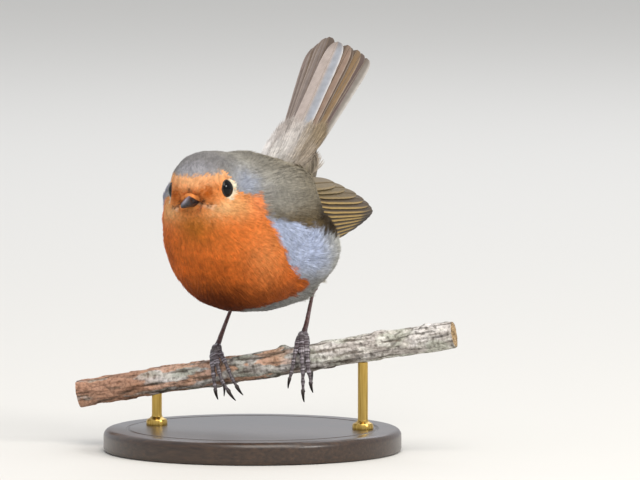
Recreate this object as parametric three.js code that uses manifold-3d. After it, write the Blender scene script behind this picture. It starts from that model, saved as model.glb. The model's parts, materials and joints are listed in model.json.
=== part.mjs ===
// A life-size European robin on a cut length of branch, held up by a plain display stand.
// Units are millimetres and +Z is up. The bird faces -Y, and its left side is +X.
// Bird and branch are laid out round the middle of the breast. A last group lifts them on to
// the floor, with the origin at the centre of the stand's underside.
import * as THREE from "three";
import { mergeVertices } from "three/addons/utils/BufferGeometryUtils.js";
import Module from "manifold-3d";

const wasm = await Module();
wasm.setup();

// ---------------------------------------------------------------- driving dimensions
const BREAST_HEIGHT = 67; // middle of the breast above the floor
const BREAST_FORWARD = 10; // middle of the breast ahead of the stand's centre
const JOINT_GAP = 0.3; // clear space between pieces that lie against each other

const HEAD_CENTRE = [0.6, -20.5, 15.5];
const HEAD_TURN = 11; // degrees, towards the bird's left
const HEAD_NOD = 6; // degrees, bill down
const HEAD_ROLL = -4; // degrees, left eye up

const EYE_RADIUS = 3.6;
const EYE_CENTRE = [6.7, -2.6, 1.1]; // in the head's frame
const BILL_TIP = 21.3; // ahead of the head's centre
const BILL_ROOT = 9.6;

const TAIL_ROOT = [-1.7, 27.5, 12.6];
const TAIL_RISE = 47; // degrees above level
const TAIL_TURN = -1.6; // degrees, tip towards the bird's left
const TAIL_LENGTH = 59.5;
const TAIL_FEATHERS = 12;
const TAIL_ROOT_SPREAD = 2.9; // from the middle to the outermost root
const TAIL_FAN = 7.2; // degrees from the middle to the outermost feather
const VANE_THICKNESS = 0.6;

const PERCH_RADIUS = 4.3;
const PERCH_PLAN = 18; // degrees from X, seen from above
const PERCH_SLOPE = 9.4; // degrees, rising to the bird's left
const PERCH_MIDDLE = [0.4, 13.7, -41]; // its axis, between the two feet
const PERCH_REACH = [58, 62]; // from the middle to the right and left ends

const FOOT_SPREAD = 14.05; // along the perch, from its middle to each foot
const FOOT_LIFT = 6.8; // from the perch's axis up to where the toes part
const TARSUS_RISE = { left: [-3.4, 14.6, 18.6], right: [0, 15, 18.6] }; // foot to hock

const BASE_RADIUS = 46;
const BASE_HEIGHT = 7;
const ROD_RADIUS = 1.6;
const ROD_SPREAD = 33; // along the perch, from its middle to each rod

// ---------------------------------------------------------------- small helpers
const degrees = (angle) => THREE.MathUtils.degToRad(angle);
const point = (at) => new THREE.Vector3(...at);
const mirrored = ([x, y, z]) => [-x, y, z];
const opposite = (at) => at.map((n) => -n);

function placed(at, turnZ = 0, turnX = 0, turnY = 0) {
  const turn = new THREE.Euler(degrees(turnX), degrees(turnY), degrees(turnZ), "ZXY");
  return new THREE.Matrix4()
    .makeRotationFromEuler(turn)
    .setPosition(...at);
}

// A closed geometry as a manifold-3d solid: shared corners are merged by place alone.
function solidOf(geometry) {
  const bare = geometry.index ? geometry.toNonIndexed() : geometry.clone();
  bare.deleteAttribute("normal");
  bare.deleteAttribute("uv");
  const merged = mergeVertices(bare, 1e-3);
  return new wasm.Manifold(
    new wasm.Mesh({
      numProp: 3,
      vertProperties: merged.attributes.position.array,
      triVerts: new Uint32Array(merged.index.array),
    }),
  );
}

function geometryOf(solid) {
  const mesh = solid.getMesh();
  const places = new Float32Array(mesh.numVert * 3);
  for (let i = 0; i < mesh.numVert; i++)
    places.set(mesh.vertProperties.subarray(i * mesh.numProp, i * mesh.numProp + 3), i * 3);
  const geometry = new THREE.BufferGeometry();
  geometry.setAttribute("position", new THREE.BufferAttribute(places, 3));
  geometry.setIndex(new THREE.BufferAttribute(mesh.triVerts, 1));
  geometry.computeVertexNormals();
  return geometry;
}

// Moves every corner of a geometry by a function of its old place.
function reshaped(geometry, move) {
  const places = geometry.attributes.position;
  const corner = new THREE.Vector3();
  for (let i = 0; i < places.count; i++) {
    corner.fromBufferAttribute(places, i);
    places.setXYZ(i, ...move(corner).toArray());
  }
  return geometry;
}

// ---------------------------------------------------------------- rounded flesh
// The plumage outline is a few ellipsoids melted together. Each is given by its middle, its
// three radii and how far it is tipped about X, in the frame of the body or of the head.
function ellipsoid(frame, centre, radii, tip = 0) {
  const inverse = frame.clone().multiply(placed(centre, 0, tip)).invert();
  const [a, b, c] = radii;
  return (place) => {
    const at = place.clone().applyMatrix4(inverse);
    const scaled = Math.hypot(at.x / a, at.y / b, at.z / c);
    const slope = Math.hypot(at.x / a ** 2, at.y / b ** 2, at.z / c ** 2);
    return (scaled * (scaled - 1)) / Math.max(slope, 1e-6);
  };
}

function melted(parts, softness) {
  return (place) => {
    let nearest = Infinity;
    for (const part of parts) {
      const distance = part(place);
      const overlap = Math.max(softness - Math.abs(nearest - distance), 0) / softness;
      nearest = Math.min(nearest, distance) - (overlap ** 2 * softness) / 4;
    }
    return nearest;
  };
}

// The surface where a shape's distance is level, reached by rays from a point inside it.
// The rays are spread as on an ellipsoid of the guide radii, so that long shapes get even faces.
// They close up round a pole, which stands at an angle above +Y.
function skinned(shape, centre, guide, columns, rows, level = 0, pole = 90) {
  const middle = point(centre);
  const far = 80;
  const step = 0.8;
  const stretched = new THREE.Vector3(...guide);
  const sphere = new THREE.SphereGeometry(1, columns, rows).rotateX(degrees(pole));
  return reshaped(sphere, (corner) => {
    const ray = corner.multiply(stretched).normalize();
    const reach = (length) => middle.clone().addScaledVector(ray, length);
    let outside = far;
    while (outside > step && shape(reach(outside - step)) > level) outside -= step;
    let inside = outside - step;
    for (let i = 0; i < 18; i++) {
      const half = (inside + outside) / 2;
      if (shape(reach(half)) > level) outside = half;
      else inside = half;
    }
    return reach(inside);
  });
}

// Everything on the side of a plane that its normal points to.
function halfSpace(at, normal, inset = 0) {
  const size = 240;
  const box = new THREE.BoxGeometry(size, size, size);
  box.translate(0, 0, size / 2 + inset);
  const turn = new THREE.Quaternion().setFromUnitVectors(
    new THREE.Vector3(0, 0, 1),
    point(normal).normalize(),
  );
  return solidOf(box.applyQuaternion(turn).translate(...at));
}

// A round bar along a curve. The radius and the flattening may change along it.
function sleeve(path, radiusAt, sides, steps, flatness = 1, up = [0, 0, 1]) {
  const geometry = new THREE.CylinderGeometry(1, 1, 1, sides, steps);
  const high = point(up);
  return reshaped(geometry, (corner) => {
    const along = THREE.MathUtils.clamp(0.5 + corner.y, 0, 1);
    const forward = path.getTangentAt(along);
    const side = new THREE.Vector3().crossVectors(forward, high).normalize();
    const top = new THREE.Vector3().crossVectors(side, forward);
    const radius = radiusAt(along);
    return path
      .getPointAt(along)
      .addScaledVector(side, corner.x * radius)
      .addScaledVector(top, corner.z * radius * flatness);
  });
}

const smoothCurve = (...points) =>
  new THREE.CatmullRomCurve3(points.map(point), false, "centripetal");

// A long feather: a thin leaf along +Y whose faces look along Z, with its root at the origin.
function feather(length, width) {
  const leaf = new THREE.Shape();
  const halfWidth = (share) =>
    (width / 2) * (0.35 + 0.65 * Math.min(1, share * 2.4)) * Math.sqrt(1 - share ** 6);
  const shares = [0, 0.45, 0.84, 0.965];
  leaf.moveTo(-halfWidth(0), 0);
  for (const share of shares.slice(1)) leaf.lineTo(-halfWidth(share), share * length);
  for (const share of [...shares].reverse()) leaf.lineTo(halfWidth(share), share * length);
  leaf.closePath();
  return new THREE.ExtrudeGeometry(leaf, { depth: VANE_THICKNESS, bevelEnabled: false });
}

// ---------------------------------------------------------------- frames and fields
const body = new THREE.Matrix4();
const headFrame = placed(HEAD_CENTRE, HEAD_TURN, HEAD_NOD, HEAD_ROLL);
const fromHead = (at) => point(at).applyMatrix4(headFrame).toArray();

const headShape = melted(
  [
    ellipsoid(headFrame, [0, 2.6, 1.2], [11.6, 12.2, 11.2]), // crown
    ellipsoid(headFrame, [0, -5.4, -0.6], [8.3, 8.2, 7.4]), // forehead and lores
    ellipsoid(headFrame, [6, 0.5, -5], [6.6, 8.5, 7]), // left cheek
    ellipsoid(headFrame, [-6, 0.5, -5], [6.6, 8.5, 7]), // right cheek
    ellipsoid(headFrame, [0, -3.5, -7.5], [8.2, 8, 6.5]), // chin and throat
  ],
  4,
);

const trunkShape = melted(
  [
    ellipsoid(body, [0, 0, 0.4], [22.4, 23.6, 23.8]), // breast
    ellipsoid(body, [0, 11, -0.5], [22.4, 28.5, 22.4]), // belly and sides
    ellipsoid(body, [0, -8, 7], [19.2, 16.5, 12]), // upper breast
    ellipsoid(body, [0, -15, -0.5], [15, 12, 11]), // throat
    ellipsoid(body, [0, 2, 10], [19.5, 19, 16.2]), // mantle
    ellipsoid(body, [0, 17, 9], [15, 17, 13.5]), // lower back
    ellipsoid(body, [13, 17.5, -5.6], [11, 16, 10.5]), // left flank
    ellipsoid(body, [-13, 17.5, -5.6], [11, 16, 10.5]), // right flank
    ellipsoid(body, [0, 27, 3], [12, 14, 10.5], 25), // vent
  ],
  5,
);

const nape = ellipsoid(body, [0, -10, 14.5], [13.5, 13, 12.2]);
const birdShape = melted([trunkShape, nape, headShape], 5);
const rumpShape = melted(
  [
    ellipsoid(body, [0.2, 28.5, 14.2], [12, 17, 5.6], TAIL_RISE), // above the tail
    ellipsoid(body, [-0.8, 34.5, 12], [8.6, 16, 4.8], 45), // under the tail
  ],
  4,
);

// ---------------------------------------------------------------- head, neck and trunk
// Two planes part the bird: one behind the head, and one where the neck meets the shoulders.
const NAPE_CUT = { at: [0, -20, 8.5], normal: [0, -0.58, 0.81] };
const SHOULDER_CUT = { at: [0, -12, 4], normal: [0, -0.66, 0.75] };

function eyeball(side, radius) {
  const [x, y, z] = EYE_CENTRE;
  return new THREE.SphereGeometry(radius, 14, 8)
    .rotateZ(degrees(90))
    .translate(side * x, y, z)
    .applyMatrix4(headFrame);
}

// The shallow hollow that an eye sits in.
function eyeHollow(side) {
  return new THREE.SphereGeometry(1, 12, 7)
    .scale(4.4, 4.4, 4)
    .translate(side * 11.6, -6.3, 1.2)
    .applyMatrix4(headFrame);
}

function billHalf(upper) {
  const drop = upper ? -0.9 : -1.35;
  const tip = upper ? BILL_TIP : BILL_TIP - 0.7;
  const path = smoothCurve(
    fromHead([0, -BILL_ROOT, drop]),
    fromHead([0, -(BILL_ROOT + tip) / 2, drop + (upper ? 0.25 : 0.05)]),
    fromHead([0, -tip, upper ? -1.25 : -1.35]),
  );
  const fullness = (along) => 0.25 + 2.45 * Math.pow(1 - along, 0.75);
  const high = new THREE.Vector3(0, 0, 1).transformDirection(headFrame).toArray();
  const cone = solidOf(sleeve(path, fullness, 12, 6, upper ? 0.78 : 0.62, high));
  const gape = fromHead([0, -BILL_ROOT, -1.1]);
  const open = point(high).multiplyScalar(upper ? 1 : -1).toArray();
  return cone.intersect(halfSpace(gape, open, 0.12));
}

const bill = { upper: billHalf(true), lower: billHalf(false) };
const billRoom = solidOf(
  sleeve(
    smoothCurve(fromHead([0, -BILL_ROOT + 0.8, -1.1]), fromHead([0, -BILL_TIP, -1.1])),
    () => 3.15,
    12,
    1,
    0.9,
  ),
);

// One surface runs over head, neck and trunk. What lies on it is cut back by the same surface
// a gap further out.
const birdSkin = (level) => solidOf(skinned(birdShape, [0, 0, 5], [1, 1, 1], 30, 24, level, 0));
const whole = birdSkin(0);
const bodyRoom = birdSkin(JOINT_GAP);

const ahead = ({ at, normal }) => halfSpace(at, normal, JOINT_GAP / 2);
const behind = ({ at, normal }) => halfSpace(at, opposite(normal), JOINT_GAP / 2);

function headSolid() {
  const hollows = [1, -1].flatMap((side) => [
    solidOf(eyeball(side, EYE_RADIUS + JOINT_GAP)),
    solidOf(eyeHollow(side)),
  ]);
  const front = whole.intersect(ahead(NAPE_CUT));
  return [...hollows, billRoom].reduce((left, cut) => left.subtract(cut), front);
}

const neckSolid = () => whole.intersect(behind(NAPE_CUT)).intersect(ahead(SHOULDER_CUT));
const trunkSolid = () => whole.intersect(behind(NAPE_CUT)).intersect(behind(SHOULDER_CUT));

// The small feathers that cover the root of the tail, above and below.
const rumpSkin = (level) =>
  solidOf(skinned(rumpShape, [0, 32, 14], [11, 14, 8], 16, 12, level, TAIL_RISE));
const rumpRoom = rumpSkin(JOINT_GAP);
const rumpSolid = () => rumpSkin(0).subtract(bodyRoom);

// ---------------------------------------------------------------- wings
const wingShape = (side) =>
  melted(
    [
      ellipsoid(body, [side * 18.2, -7, 11.8], [4, 6, 5.8]), // bend of the wing
      ellipsoid(body, [side * 18, 6, 8.6], [5.4, 16.5, 9.4], -16), // coverts
      ellipsoid(body, [side * 12.6, 7, 16.2], [8, 16, 7.2]), // scapulars
    ],
    5,
  );

function wingCoverts(side) {
  const centre = [side * 18, 2, 10];
  return solidOf(skinned(wingShape(side), centre, [8, 20, 10], 18, 12, 0, 0)).subtract(bodyRoom);
}

// Roots and tips run from the innermost tertial, high up, down to the outermost primary.
const FLIGHT_ROOTS = smoothCurve([14, 9, 17.6], [19.6, 5, 11], [20.4, 0, 3]);
const FLIGHT_TIPS = smoothCurve(
  [11.2, 27, 17.2],
  [12.6, 34, 15.6],
  [14, 42, 12.8],
  [15.6, 49.5, 9.4],
  [16.8, 57, 5.6],
  [17.6, 56, 3.2],
  [18.6, 47.5, 1.2],
  [19.8, 35, -1.2],
);
const FLIGHT_FEATHERS = 11;

function longFeather(root, tip, width, outward) {
  const along = tip.clone().sub(root);
  const length = along.length();
  along.normalize();
  const facing = outward.clone().addScaledVector(along, -outward.dot(along)).normalize();
  const across = new THREE.Vector3().crossVectors(along, facing);
  const place = new THREE.Matrix4().makeBasis(across, along, facing).setPosition(root);
  return solidOf(feather(length, width).applyMatrix4(place));
}

function flightFeathers(side) {
  const blades = [];
  for (let i = 0; i < FLIGHT_FEATHERS; i++) {
    const share = i / (FLIGHT_FEATHERS - 1);
    const root = FLIGHT_ROOTS.getPoint(share);
    const tip = FLIGHT_TIPS.getPoint(share);
    const sink = -1.2 * share; // lower feathers lie further in
    for (const end of [root, tip]) end.x = side * (end.x + sink);
    const outward = new THREE.Vector3(side * (0.6 + 0.4 * share), 0, 0.8 * (1 - share));
    blades.push(longFeather(root, tip, 6.4 - 2 * share, outward));
  }
  const coverts = solidOf(
    skinned(wingShape(side), [side * 18, 2, 10], [8, 20, 10], 18, 12, JOINT_GAP, 0),
  );
  return [bodyRoom, rumpRoom, coverts].reduce(
    (left, cut) => left.subtract(cut),
    wasm.Manifold.union(blades),
  );
}

// ---------------------------------------------------------------- tail
const tailFrame = placed(TAIL_ROOT, TAIL_TURN, TAIL_RISE);

function tailSolid() {
  const blades = [];
  for (let i = 0; i < TAIL_FEATHERS; i++) {
    const share = (i / (TAIL_FEATHERS - 1)) * 2 - 1; // -1 at the right edge, 1 at the left
    const drop = 1.4 * Math.abs(share); // outer feathers lie under the inner ones
    const length = TAIL_LENGTH - 3 * Math.abs(share + 0.15) ** 1.5;
    const root = new THREE.Vector3(share * TAIL_ROOT_SPREAD, 0, 0.8 - drop);
    const tip = new THREE.Vector3(
      root.x + length * Math.sin(degrees(TAIL_FAN * share)),
      length,
      1.2 - drop,
    );
    const outward = new THREE.Vector3(share * 0.16, 0, 1).transformDirection(tailFrame);
    root.applyMatrix4(tailFrame);
    tip.applyMatrix4(tailFrame);
    blades.push(longFeather(root, tip, 8, outward));
  }
  return wasm.Manifold.union(blades).subtract(bodyRoom).subtract(rumpRoom);
}

// ---------------------------------------------------------------- perch and legs
const perchWay = new THREE.Vector3(
  Math.cos(degrees(PERCH_PLAN)) * Math.cos(degrees(PERCH_SLOPE)),
  Math.sin(degrees(PERCH_PLAN)) * Math.cos(degrees(PERCH_SLOPE)),
  Math.sin(degrees(PERCH_SLOPE)),
);
const perchAt = (along) => point(PERCH_MIDDLE).addScaledVector(perchWay, along);
// Level, square to the perch, towards the bird's front.
const perchFront = new THREE.Vector3(
  Math.sin(degrees(PERCH_PLAN)),
  -Math.cos(degrees(PERCH_PLAN)),
  0,
);
const perchUp = new THREE.Vector3().crossVectors(perchFront, perchWay).normalize();

const knotty = (along) => PERCH_RADIUS * (1 + 0.035 * Math.sin(along * 19) + 0.03 * along);

function perchSolid() {
  const [right, left] = PERCH_REACH;
  const bow = (along, rise) => perchAt(along).add(new THREE.Vector3(0, 0, rise)).toArray();
  const path = smoothCurve(bow(-right, -0.5), bow(-FOOT_SPREAD, 0), bow(FOOT_SPREAD, 0), bow(left, 0.9));
  return solidOf(sleeve(path, knotty, 12, 11));
}

const perchRoom = (grow) => {
  const [right, left] = PERCH_REACH;
  const ends = smoothCurve(perchAt(-right - 2).toArray(), perchAt(left + 2).toArray());
  return solidOf(sleeve(ends, () => PERCH_RADIUS * 1.05 + grow, 24, 1));
};

// A place beside the perch at a foot: along it, to its front, and up, from its axis.
const byPerch = (foot, along, front, up) =>
  perchAt(foot + along)
    .addScaledVector(perchFront, front)
    .addScaledVector(perchUp, up)
    .toArray();

const footOf = (side) => side * FOOT_SPREAD;

const nameOf = (side) => (side > 0 ? "left" : "right");
const ankleOf = (side) => byPerch(footOf(side), 1.3, -1, FOOT_LIFT + 0.6);
const hockOf = (side) => ankleOf(side).map((at, i) => at + TARSUS_RISE[nameOf(side)][i]);

function tarsusSolid(side) {
  const foot = point(ankleOf(side));
  const hock = point(hockOf(side));
  const path = smoothCurve(
    foot.toArray(),
    foot.clone().lerp(hock, 0.5).add(new THREE.Vector3(0, -0.4, 0)).toArray(),
    hock.toArray(),
  );
  const girth = (along) => 0.82 + 0.75 * (1 - along) ** 8 + 0.45 * along ** 6;
  const bar = solidOf(sleeve(path, girth, 8, 9));
  return bar.subtract(thighRoom(side)).subtract(bodyRoom);
}

const KNEE = [11.4, 19, -14.6]; // left
const thighCentre = (side) => {
  const knee = point(side > 0 ? KNEE : mirrored(KNEE));
  return knee.lerp(point(hockOf(side)), 0.45).toArray();
};

function thighShape(side) {
  const knee = side > 0 ? KNEE : mirrored(KNEE);
  const shin = point(knee).lerp(point(hockOf(side)), 0.8).toArray();
  return melted([ellipsoid(body, knee, [5.6, 8, 6.2]), ellipsoid(body, shin, [3.8, 6, 4.4])], 5);
}

const thighSkin = (side, level) =>
  solidOf(skinned(thighShape(side), thighCentre(side), [1, 1.4, 1], 14, 10, level));
const thighRoom = (side) => thighSkin(side, JOINT_GAP);
const thighSolid = (side) => thighSkin(side, 0).subtract(bodyRoom);

// Toes as points beside the perch: along it, to its front, and up from its axis. Each list
// starts where the toes part on top of the perch, and "outer" is away from the other foot.
const HIND_TOE = [[0.6, -2.2, 6.4], [0.6, -5, 4.4], [0.5, -6.6, 0], [0.5, -6, -3.6]];
const TOES = {
  left: {
    inner: [[-0.2, 0.9, 6.7], [-0.9, 4.6, 3.6], [-2.6, 6.3, -2], [-3.9, 6.3, -5]],
    middle: [[1, 1.2, 6.6], [1, 5.2, 3.2], [0.5, 7, -4.6], [-0.2, 6.9, -9.3]],
    outer: [[2.3, 0.9, 6.5], [2.7, 4.6, 3.4], [2.6, 6.3, -3.6], [2.5, 6.3, -7.2]],
    hind: HIND_TOE,
  },
  right: {
    inner: [[2.1, 0.9, 6.7], [4.4, 4.6, 3.6], [6.2, 6.3, -2], [7.4, 6.3, -5]],
    middle: [[1.3, 1.2, 6.7], [2.1, 5.2, 3.6], [3.2, 7, -2.5], [4.7, 6.9, -6]],
    outer: [[0.5, 0.9, 6.7], [0.5, 4.6, 3.7], [0.5, 6.3, -1.8], [0.5, 6.3, -5]],
    hind: HIND_TOE,
  },
};

const CLAW_REACH = { inner: 3.1, middle: 3.5, outer: 3.1, hind: 4.4 };

// Knuckle pads swell a toe at even steps.
const toeGirth = (along) => 0.84 + 0.13 * Math.cos(along * 6 * Math.PI) - 0.12 * along;

function toePoints(sideName, toeName) {
  const foot = footOf(sideName === "left" ? 1 : -1);
  return TOES[sideName][toeName].map((at) => point(byPerch(foot, ...at)));
}

function toeSolid(sideName, toeName, grow = 0) {
  const path = smoothCurve(...toePoints(sideName, toeName).map((p) => p.toArray()));
  return solidOf(sleeve(path, (along) => toeGirth(along) + grow, 6, 8));
}

function toeSolids(sideName, toeName) {
  const points = toePoints(sideName, toeName);
  const middle = toeSolid(sideName, "middle", JOINT_GAP);
  const whole = toeSolid(sideName, toeName);
  const toe = toeName === "middle" ? whole : whole.subtract(middle);
  const last = points.at(-1);
  const way = last.clone().sub(points.at(-2)).normalize();
  const inward = perchFront.clone().multiplyScalar(toeName === "hind" ? 1 : -1);
  const clawPoint = (reach, curl) =>
    last.clone().addScaledVector(way, reach).addScaledVector(inward, curl).toArray();
  const length = CLAW_REACH[toeName];
  const clawPath = smoothCurve(
    clawPoint(JOINT_GAP, 0),
    clawPoint(length * 0.5, length * 0.02),
    clawPoint(length * 0.85, length * 0.2),
    clawPoint(length, length * 0.38),
  );
  const claw = sleeve(clawPath, (along) => 0.1 + 0.5 * (1 - along), 5, 3);
  return { toe, claw: solidOf(claw) };
}

// ---------------------------------------------------------------- stand
function standBase() {
  const profile = [
    [0, 0], [BASE_RADIUS, 0], [BASE_RADIUS, BASE_HEIGHT - 1.6],
    [BASE_RADIUS - 0.5, BASE_HEIGHT - 0.5], [BASE_RADIUS - 1.6, BASE_HEIGHT], [0, BASE_HEIGHT],
  ];
  return new THREE.LatheGeometry(profile.map(([r, h]) => new THREE.Vector2(r, h)), 36)
    .rotateX(degrees(90))
    .translate(0, BREAST_FORWARD, -BREAST_HEIGHT);
}

function standRod(side) {
  const top = perchAt(side * ROD_SPREAD);
  const foot = BASE_HEIGHT - BREAST_HEIGHT + JOINT_GAP;
  const height = top.z - foot;
  const rod = new THREE.CylinderGeometry(ROD_RADIUS, ROD_RADIUS, height, 14)
    .rotateX(degrees(90))
    .translate(top.x, top.y, foot + height / 2);
  return solidOf(rod).subtract(perchRoom(JOINT_GAP));
}

// ---------------------------------------------------------------- colours and the group
const finish = (color, roughness, metalness = 0) =>
  new THREE.MeshStandardMaterial({ color, roughness, metalness });

const FINISHES = {
  crown: finish(0x8c8880, 0.9),
  orange: finish(0xcf6f30, 0.9),
  vane: finish(0x7d6a52, 0.8),
  tailVane: finish(0xa4968a, 0.8),
  down: finish(0xc4c4c4, 0.95),
  horn: finish(0x2c2724, 0.4),
  eye: finish(0x0b0908, 0.08),
  legSkin: finish(0x67525a, 0.55),
  bark: finish(0x9c9186, 0.9),
  ebony: finish(0x2b2622, 0.35),
  brass: finish(0xb08d57, 0.3, 1),
};

const model = new THREE.Group();
model.position.set(0, -BREAST_FORWARD, BREAST_HEIGHT);

function add(name, shape, material) {
  const geometry = shape.isBufferGeometry ? shape : geometryOf(shape);
  const mesh = new THREE.Mesh(geometry, material);
  mesh.name = name;
  model.add(mesh);
}

add("head", headSolid(), FINISHES.crown);
add("neck", neckSolid(), FINISHES.crown);
add("trunk", trunkSolid(), FINISHES.orange);
add("rump", rumpSolid(), FINISHES.crown);
add("bill_upper", bill.upper, FINISHES.horn);
add("bill_lower", bill.lower, FINISHES.horn);
add("tail", tailSolid(), FINISHES.tailVane);

for (const [sideName, side] of [["left", 1], ["right", -1]]) {
  add(`eye_${sideName}`, eyeball(side, EYE_RADIUS), FINISHES.eye);
  add(`wing_${sideName}_coverts`, wingCoverts(side), FINISHES.crown);
  add(`wing_${sideName}_flight`, flightFeathers(side), FINISHES.vane);
  add(`thigh_${sideName}`, thighSolid(side), FINISHES.down);
  add(`tarsus_${sideName}`, tarsusSolid(side), FINISHES.legSkin);
  for (const toeName of Object.keys(TOES[sideName])) {
    const { toe, claw } = toeSolids(sideName, toeName);
    add(`toe_${sideName}_${toeName}`, toe, FINISHES.legSkin);
    add(`claw_${sideName}_${toeName}`, claw, FINISHES.horn);
  }
}

add("perch", perchSolid(), FINISHES.bark);
add("stand_base", standBase(), FINISHES.ebony);
add("stand_rod_left", standRod(1), FINISHES.brass);
add("stand_rod_right", standRod(-1), FINISHES.brass);

export default model;
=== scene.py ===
# %% [markdown]
# # A European robin on a branch
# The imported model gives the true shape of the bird, its perch and its stand as plain solids. This
# lesson puts a skin over the flesh, thousands of small feathers over the skin, long feathers in the
# wings and tail, and a real finish on the bill, eyes, legs, bark, wood and brass. Everything is in
# metres and stands where the solids stand, so nothing is moved to fit afterwards.

# %% Load the frame
import json
import math

import bpy
import numpy as np
from mathutils import Matrix, Vector, noise
from mathutils.bvhtree import BVHTree

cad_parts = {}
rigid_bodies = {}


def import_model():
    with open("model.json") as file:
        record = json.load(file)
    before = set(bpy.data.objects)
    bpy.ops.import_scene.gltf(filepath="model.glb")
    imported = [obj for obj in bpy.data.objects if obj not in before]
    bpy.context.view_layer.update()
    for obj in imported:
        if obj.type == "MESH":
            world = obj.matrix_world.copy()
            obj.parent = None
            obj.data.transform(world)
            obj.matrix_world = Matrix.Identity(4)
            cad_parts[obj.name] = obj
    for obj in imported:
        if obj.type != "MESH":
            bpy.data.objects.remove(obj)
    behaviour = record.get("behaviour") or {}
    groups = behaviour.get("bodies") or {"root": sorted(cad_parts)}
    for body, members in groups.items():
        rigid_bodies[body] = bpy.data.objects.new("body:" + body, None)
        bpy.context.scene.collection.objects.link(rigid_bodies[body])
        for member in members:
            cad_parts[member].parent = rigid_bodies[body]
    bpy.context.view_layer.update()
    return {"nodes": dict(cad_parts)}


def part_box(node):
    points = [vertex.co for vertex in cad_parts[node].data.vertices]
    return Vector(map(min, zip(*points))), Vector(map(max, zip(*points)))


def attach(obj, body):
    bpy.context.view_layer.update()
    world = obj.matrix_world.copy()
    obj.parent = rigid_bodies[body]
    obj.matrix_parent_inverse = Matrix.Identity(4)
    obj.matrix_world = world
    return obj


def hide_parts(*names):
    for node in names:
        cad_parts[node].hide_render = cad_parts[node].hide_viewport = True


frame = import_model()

NODES = frame["nodes"]
MM = 0.001
SIDES = {"left": 1, "right": -1}  # the sign of each side's places across the bird

# %% [markdown]
# ## Landmarks
# A bird is easiest to describe from inside it. Three frames are used, all in millimetres. The body's
# frame is centred in the middle of the breast, with the bird looking along -Y and its left side at
# +X. The head's frame is centred between the eyes: across to the left eye, forward to the tip of
# the bill, and up. These two are found from the solids. The tail's frame starts at the tail's root
# on the body and turns with the angle at which the tail is cocked.

# %% Find the breast, the eyes and the bill
BREAST_DEPTH = 24.7  # mm, from the breast's middle to its front
BREAST_DROP = 23.7  # mm, from the breast's middle down to its lowest feathers


def as_array(vectors):
    """Vectors as rows of numbers."""
    return np.array([tuple(v) for v in vectors], float)


def corners_of(node):
    """Every corner of a solid, in metres."""
    return as_array(v.co for v in NODES[node].data.vertices)


def unit(vectors):
    """Each row brought to length 1."""
    vectors = np.asarray(vectors, float)
    return vectors / np.maximum(np.linalg.norm(vectors, axis=-1, keepdims=True), 1e-12)


trunk_low, trunk_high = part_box("trunk")
BREAST = np.array([
    (trunk_low.x + trunk_high.x) / 2,
    trunk_low.y + BREAST_DEPTH * MM,
    trunk_low.z + BREAST_DROP * MM,
])
EYES = {side: np.mean(as_array(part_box("eye_" + side)), axis=0) for side in SIDES}
eye_low, eye_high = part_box("eye_left")
EYE_RADIUS = (eye_high.z - eye_low.z) / 2
BETWEEN_EYES = (EYES["left"] + EYES["right"]) / 2
bill_corners = corners_of("bill_upper")
BILL_TIP = bill_corners[np.argmax(np.linalg.norm(bill_corners - BETWEEN_EYES, axis=1))]
HEAD_ACROSS = unit(EYES["left"] - EYES["right"])
to_tip = BILL_TIP - BETWEEN_EYES
HEAD_FORWARD = unit(to_tip - HEAD_ACROSS * (to_tip @ HEAD_ACROSS))
HEAD_UP = unit(np.cross(HEAD_FORWARD, HEAD_ACROSS))
HEAD_AXES = np.array([HEAD_ACROSS, HEAD_FORWARD, HEAD_UP])


def in_body(points):
    """Points in metres as millimetres from the middle of the breast."""
    return (np.asarray(points) - BREAST) / MM


def from_body(points):
    """The other way: millimetres from the middle of the breast as points in metres."""
    return np.asarray(points, float) * MM + BREAST


def in_head(points):
    """Points in metres as millimetres across, forward and up from between the eyes."""
    return (np.asarray(points) - BETWEEN_EYES) @ HEAD_AXES.T / MM


def from_head(points):
    """Millimetres in the head's frame as points in metres."""
    return np.asarray(points, float) @ HEAD_AXES * MM + BETWEEN_EYES


BILL_ROOT = from_head([0, 9, -1])
TAIL_ROOT = np.array([-1.7, 27.5, 12.6])  # body millimetres
TAIL_RISE = math.radians(47)
TAIL_TURN = math.radians(-1.6)
TAIL_AXES = np.array(
    (Matrix.Rotation(TAIL_TURN, 3, "Z") @ Matrix.Rotation(TAIL_RISE, 3, "X")).transposed()
)  # across to the left, along to the tip, and out of the upper side
# The way each eye looks: outwards, a good deal forwards and a little up.
EYE_LOOK = {
    side: unit(np.array([sign * 0.87, 0.48, 0.10]) @ HEAD_AXES) for side, sign in SIDES.items()
}
LID_ANGLE = 38.0  # degrees from an eye's axis to the edge of its lids


def in_tail(places):
    """Body millimetres as millimetres across, along and out of the tail from its root."""
    return (places - TAIL_ROOT) @ TAIL_AXES.T


def from_tail(places):
    """The other way: millimetres from the tail's root as body millimetres."""
    return TAIL_ROOT + np.asarray(places, float) @ TAIL_AXES


def far_from(points, spot):
    """Millimetres from a spot to each point, all given in metres."""
    return np.linalg.norm(points - spot, axis=-1) / MM


def patch(points, centre, radii):
    """A soft round patch, 1 in its middle. It lies on both sides of the bird."""
    mirrored = np.column_stack([np.abs(points[:, 0]), points[:, 1:]])
    return np.exp(-(((mirrored - centre) / radii) ** 2).sum(1))


def eye_angle(points):
    """Degrees between an eye's axis and each point, seen from that eye's middle, and the distance
    from it in millimetres. The nearer eye counts."""
    angles, spans = [], []
    for side, middle in EYES.items():
        out = unit(points - middle)
        angles.append(np.degrees(np.arccos(np.clip(out @ EYE_LOOK[side], -1, 1))))
        spans.append(far_from(points, middle))
    nearer = np.argmin(spans, axis=0)
    pick = np.arange(len(nearer))
    return np.array(angles)[nearer, pick], np.array(spans)[nearer, pick]


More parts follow.
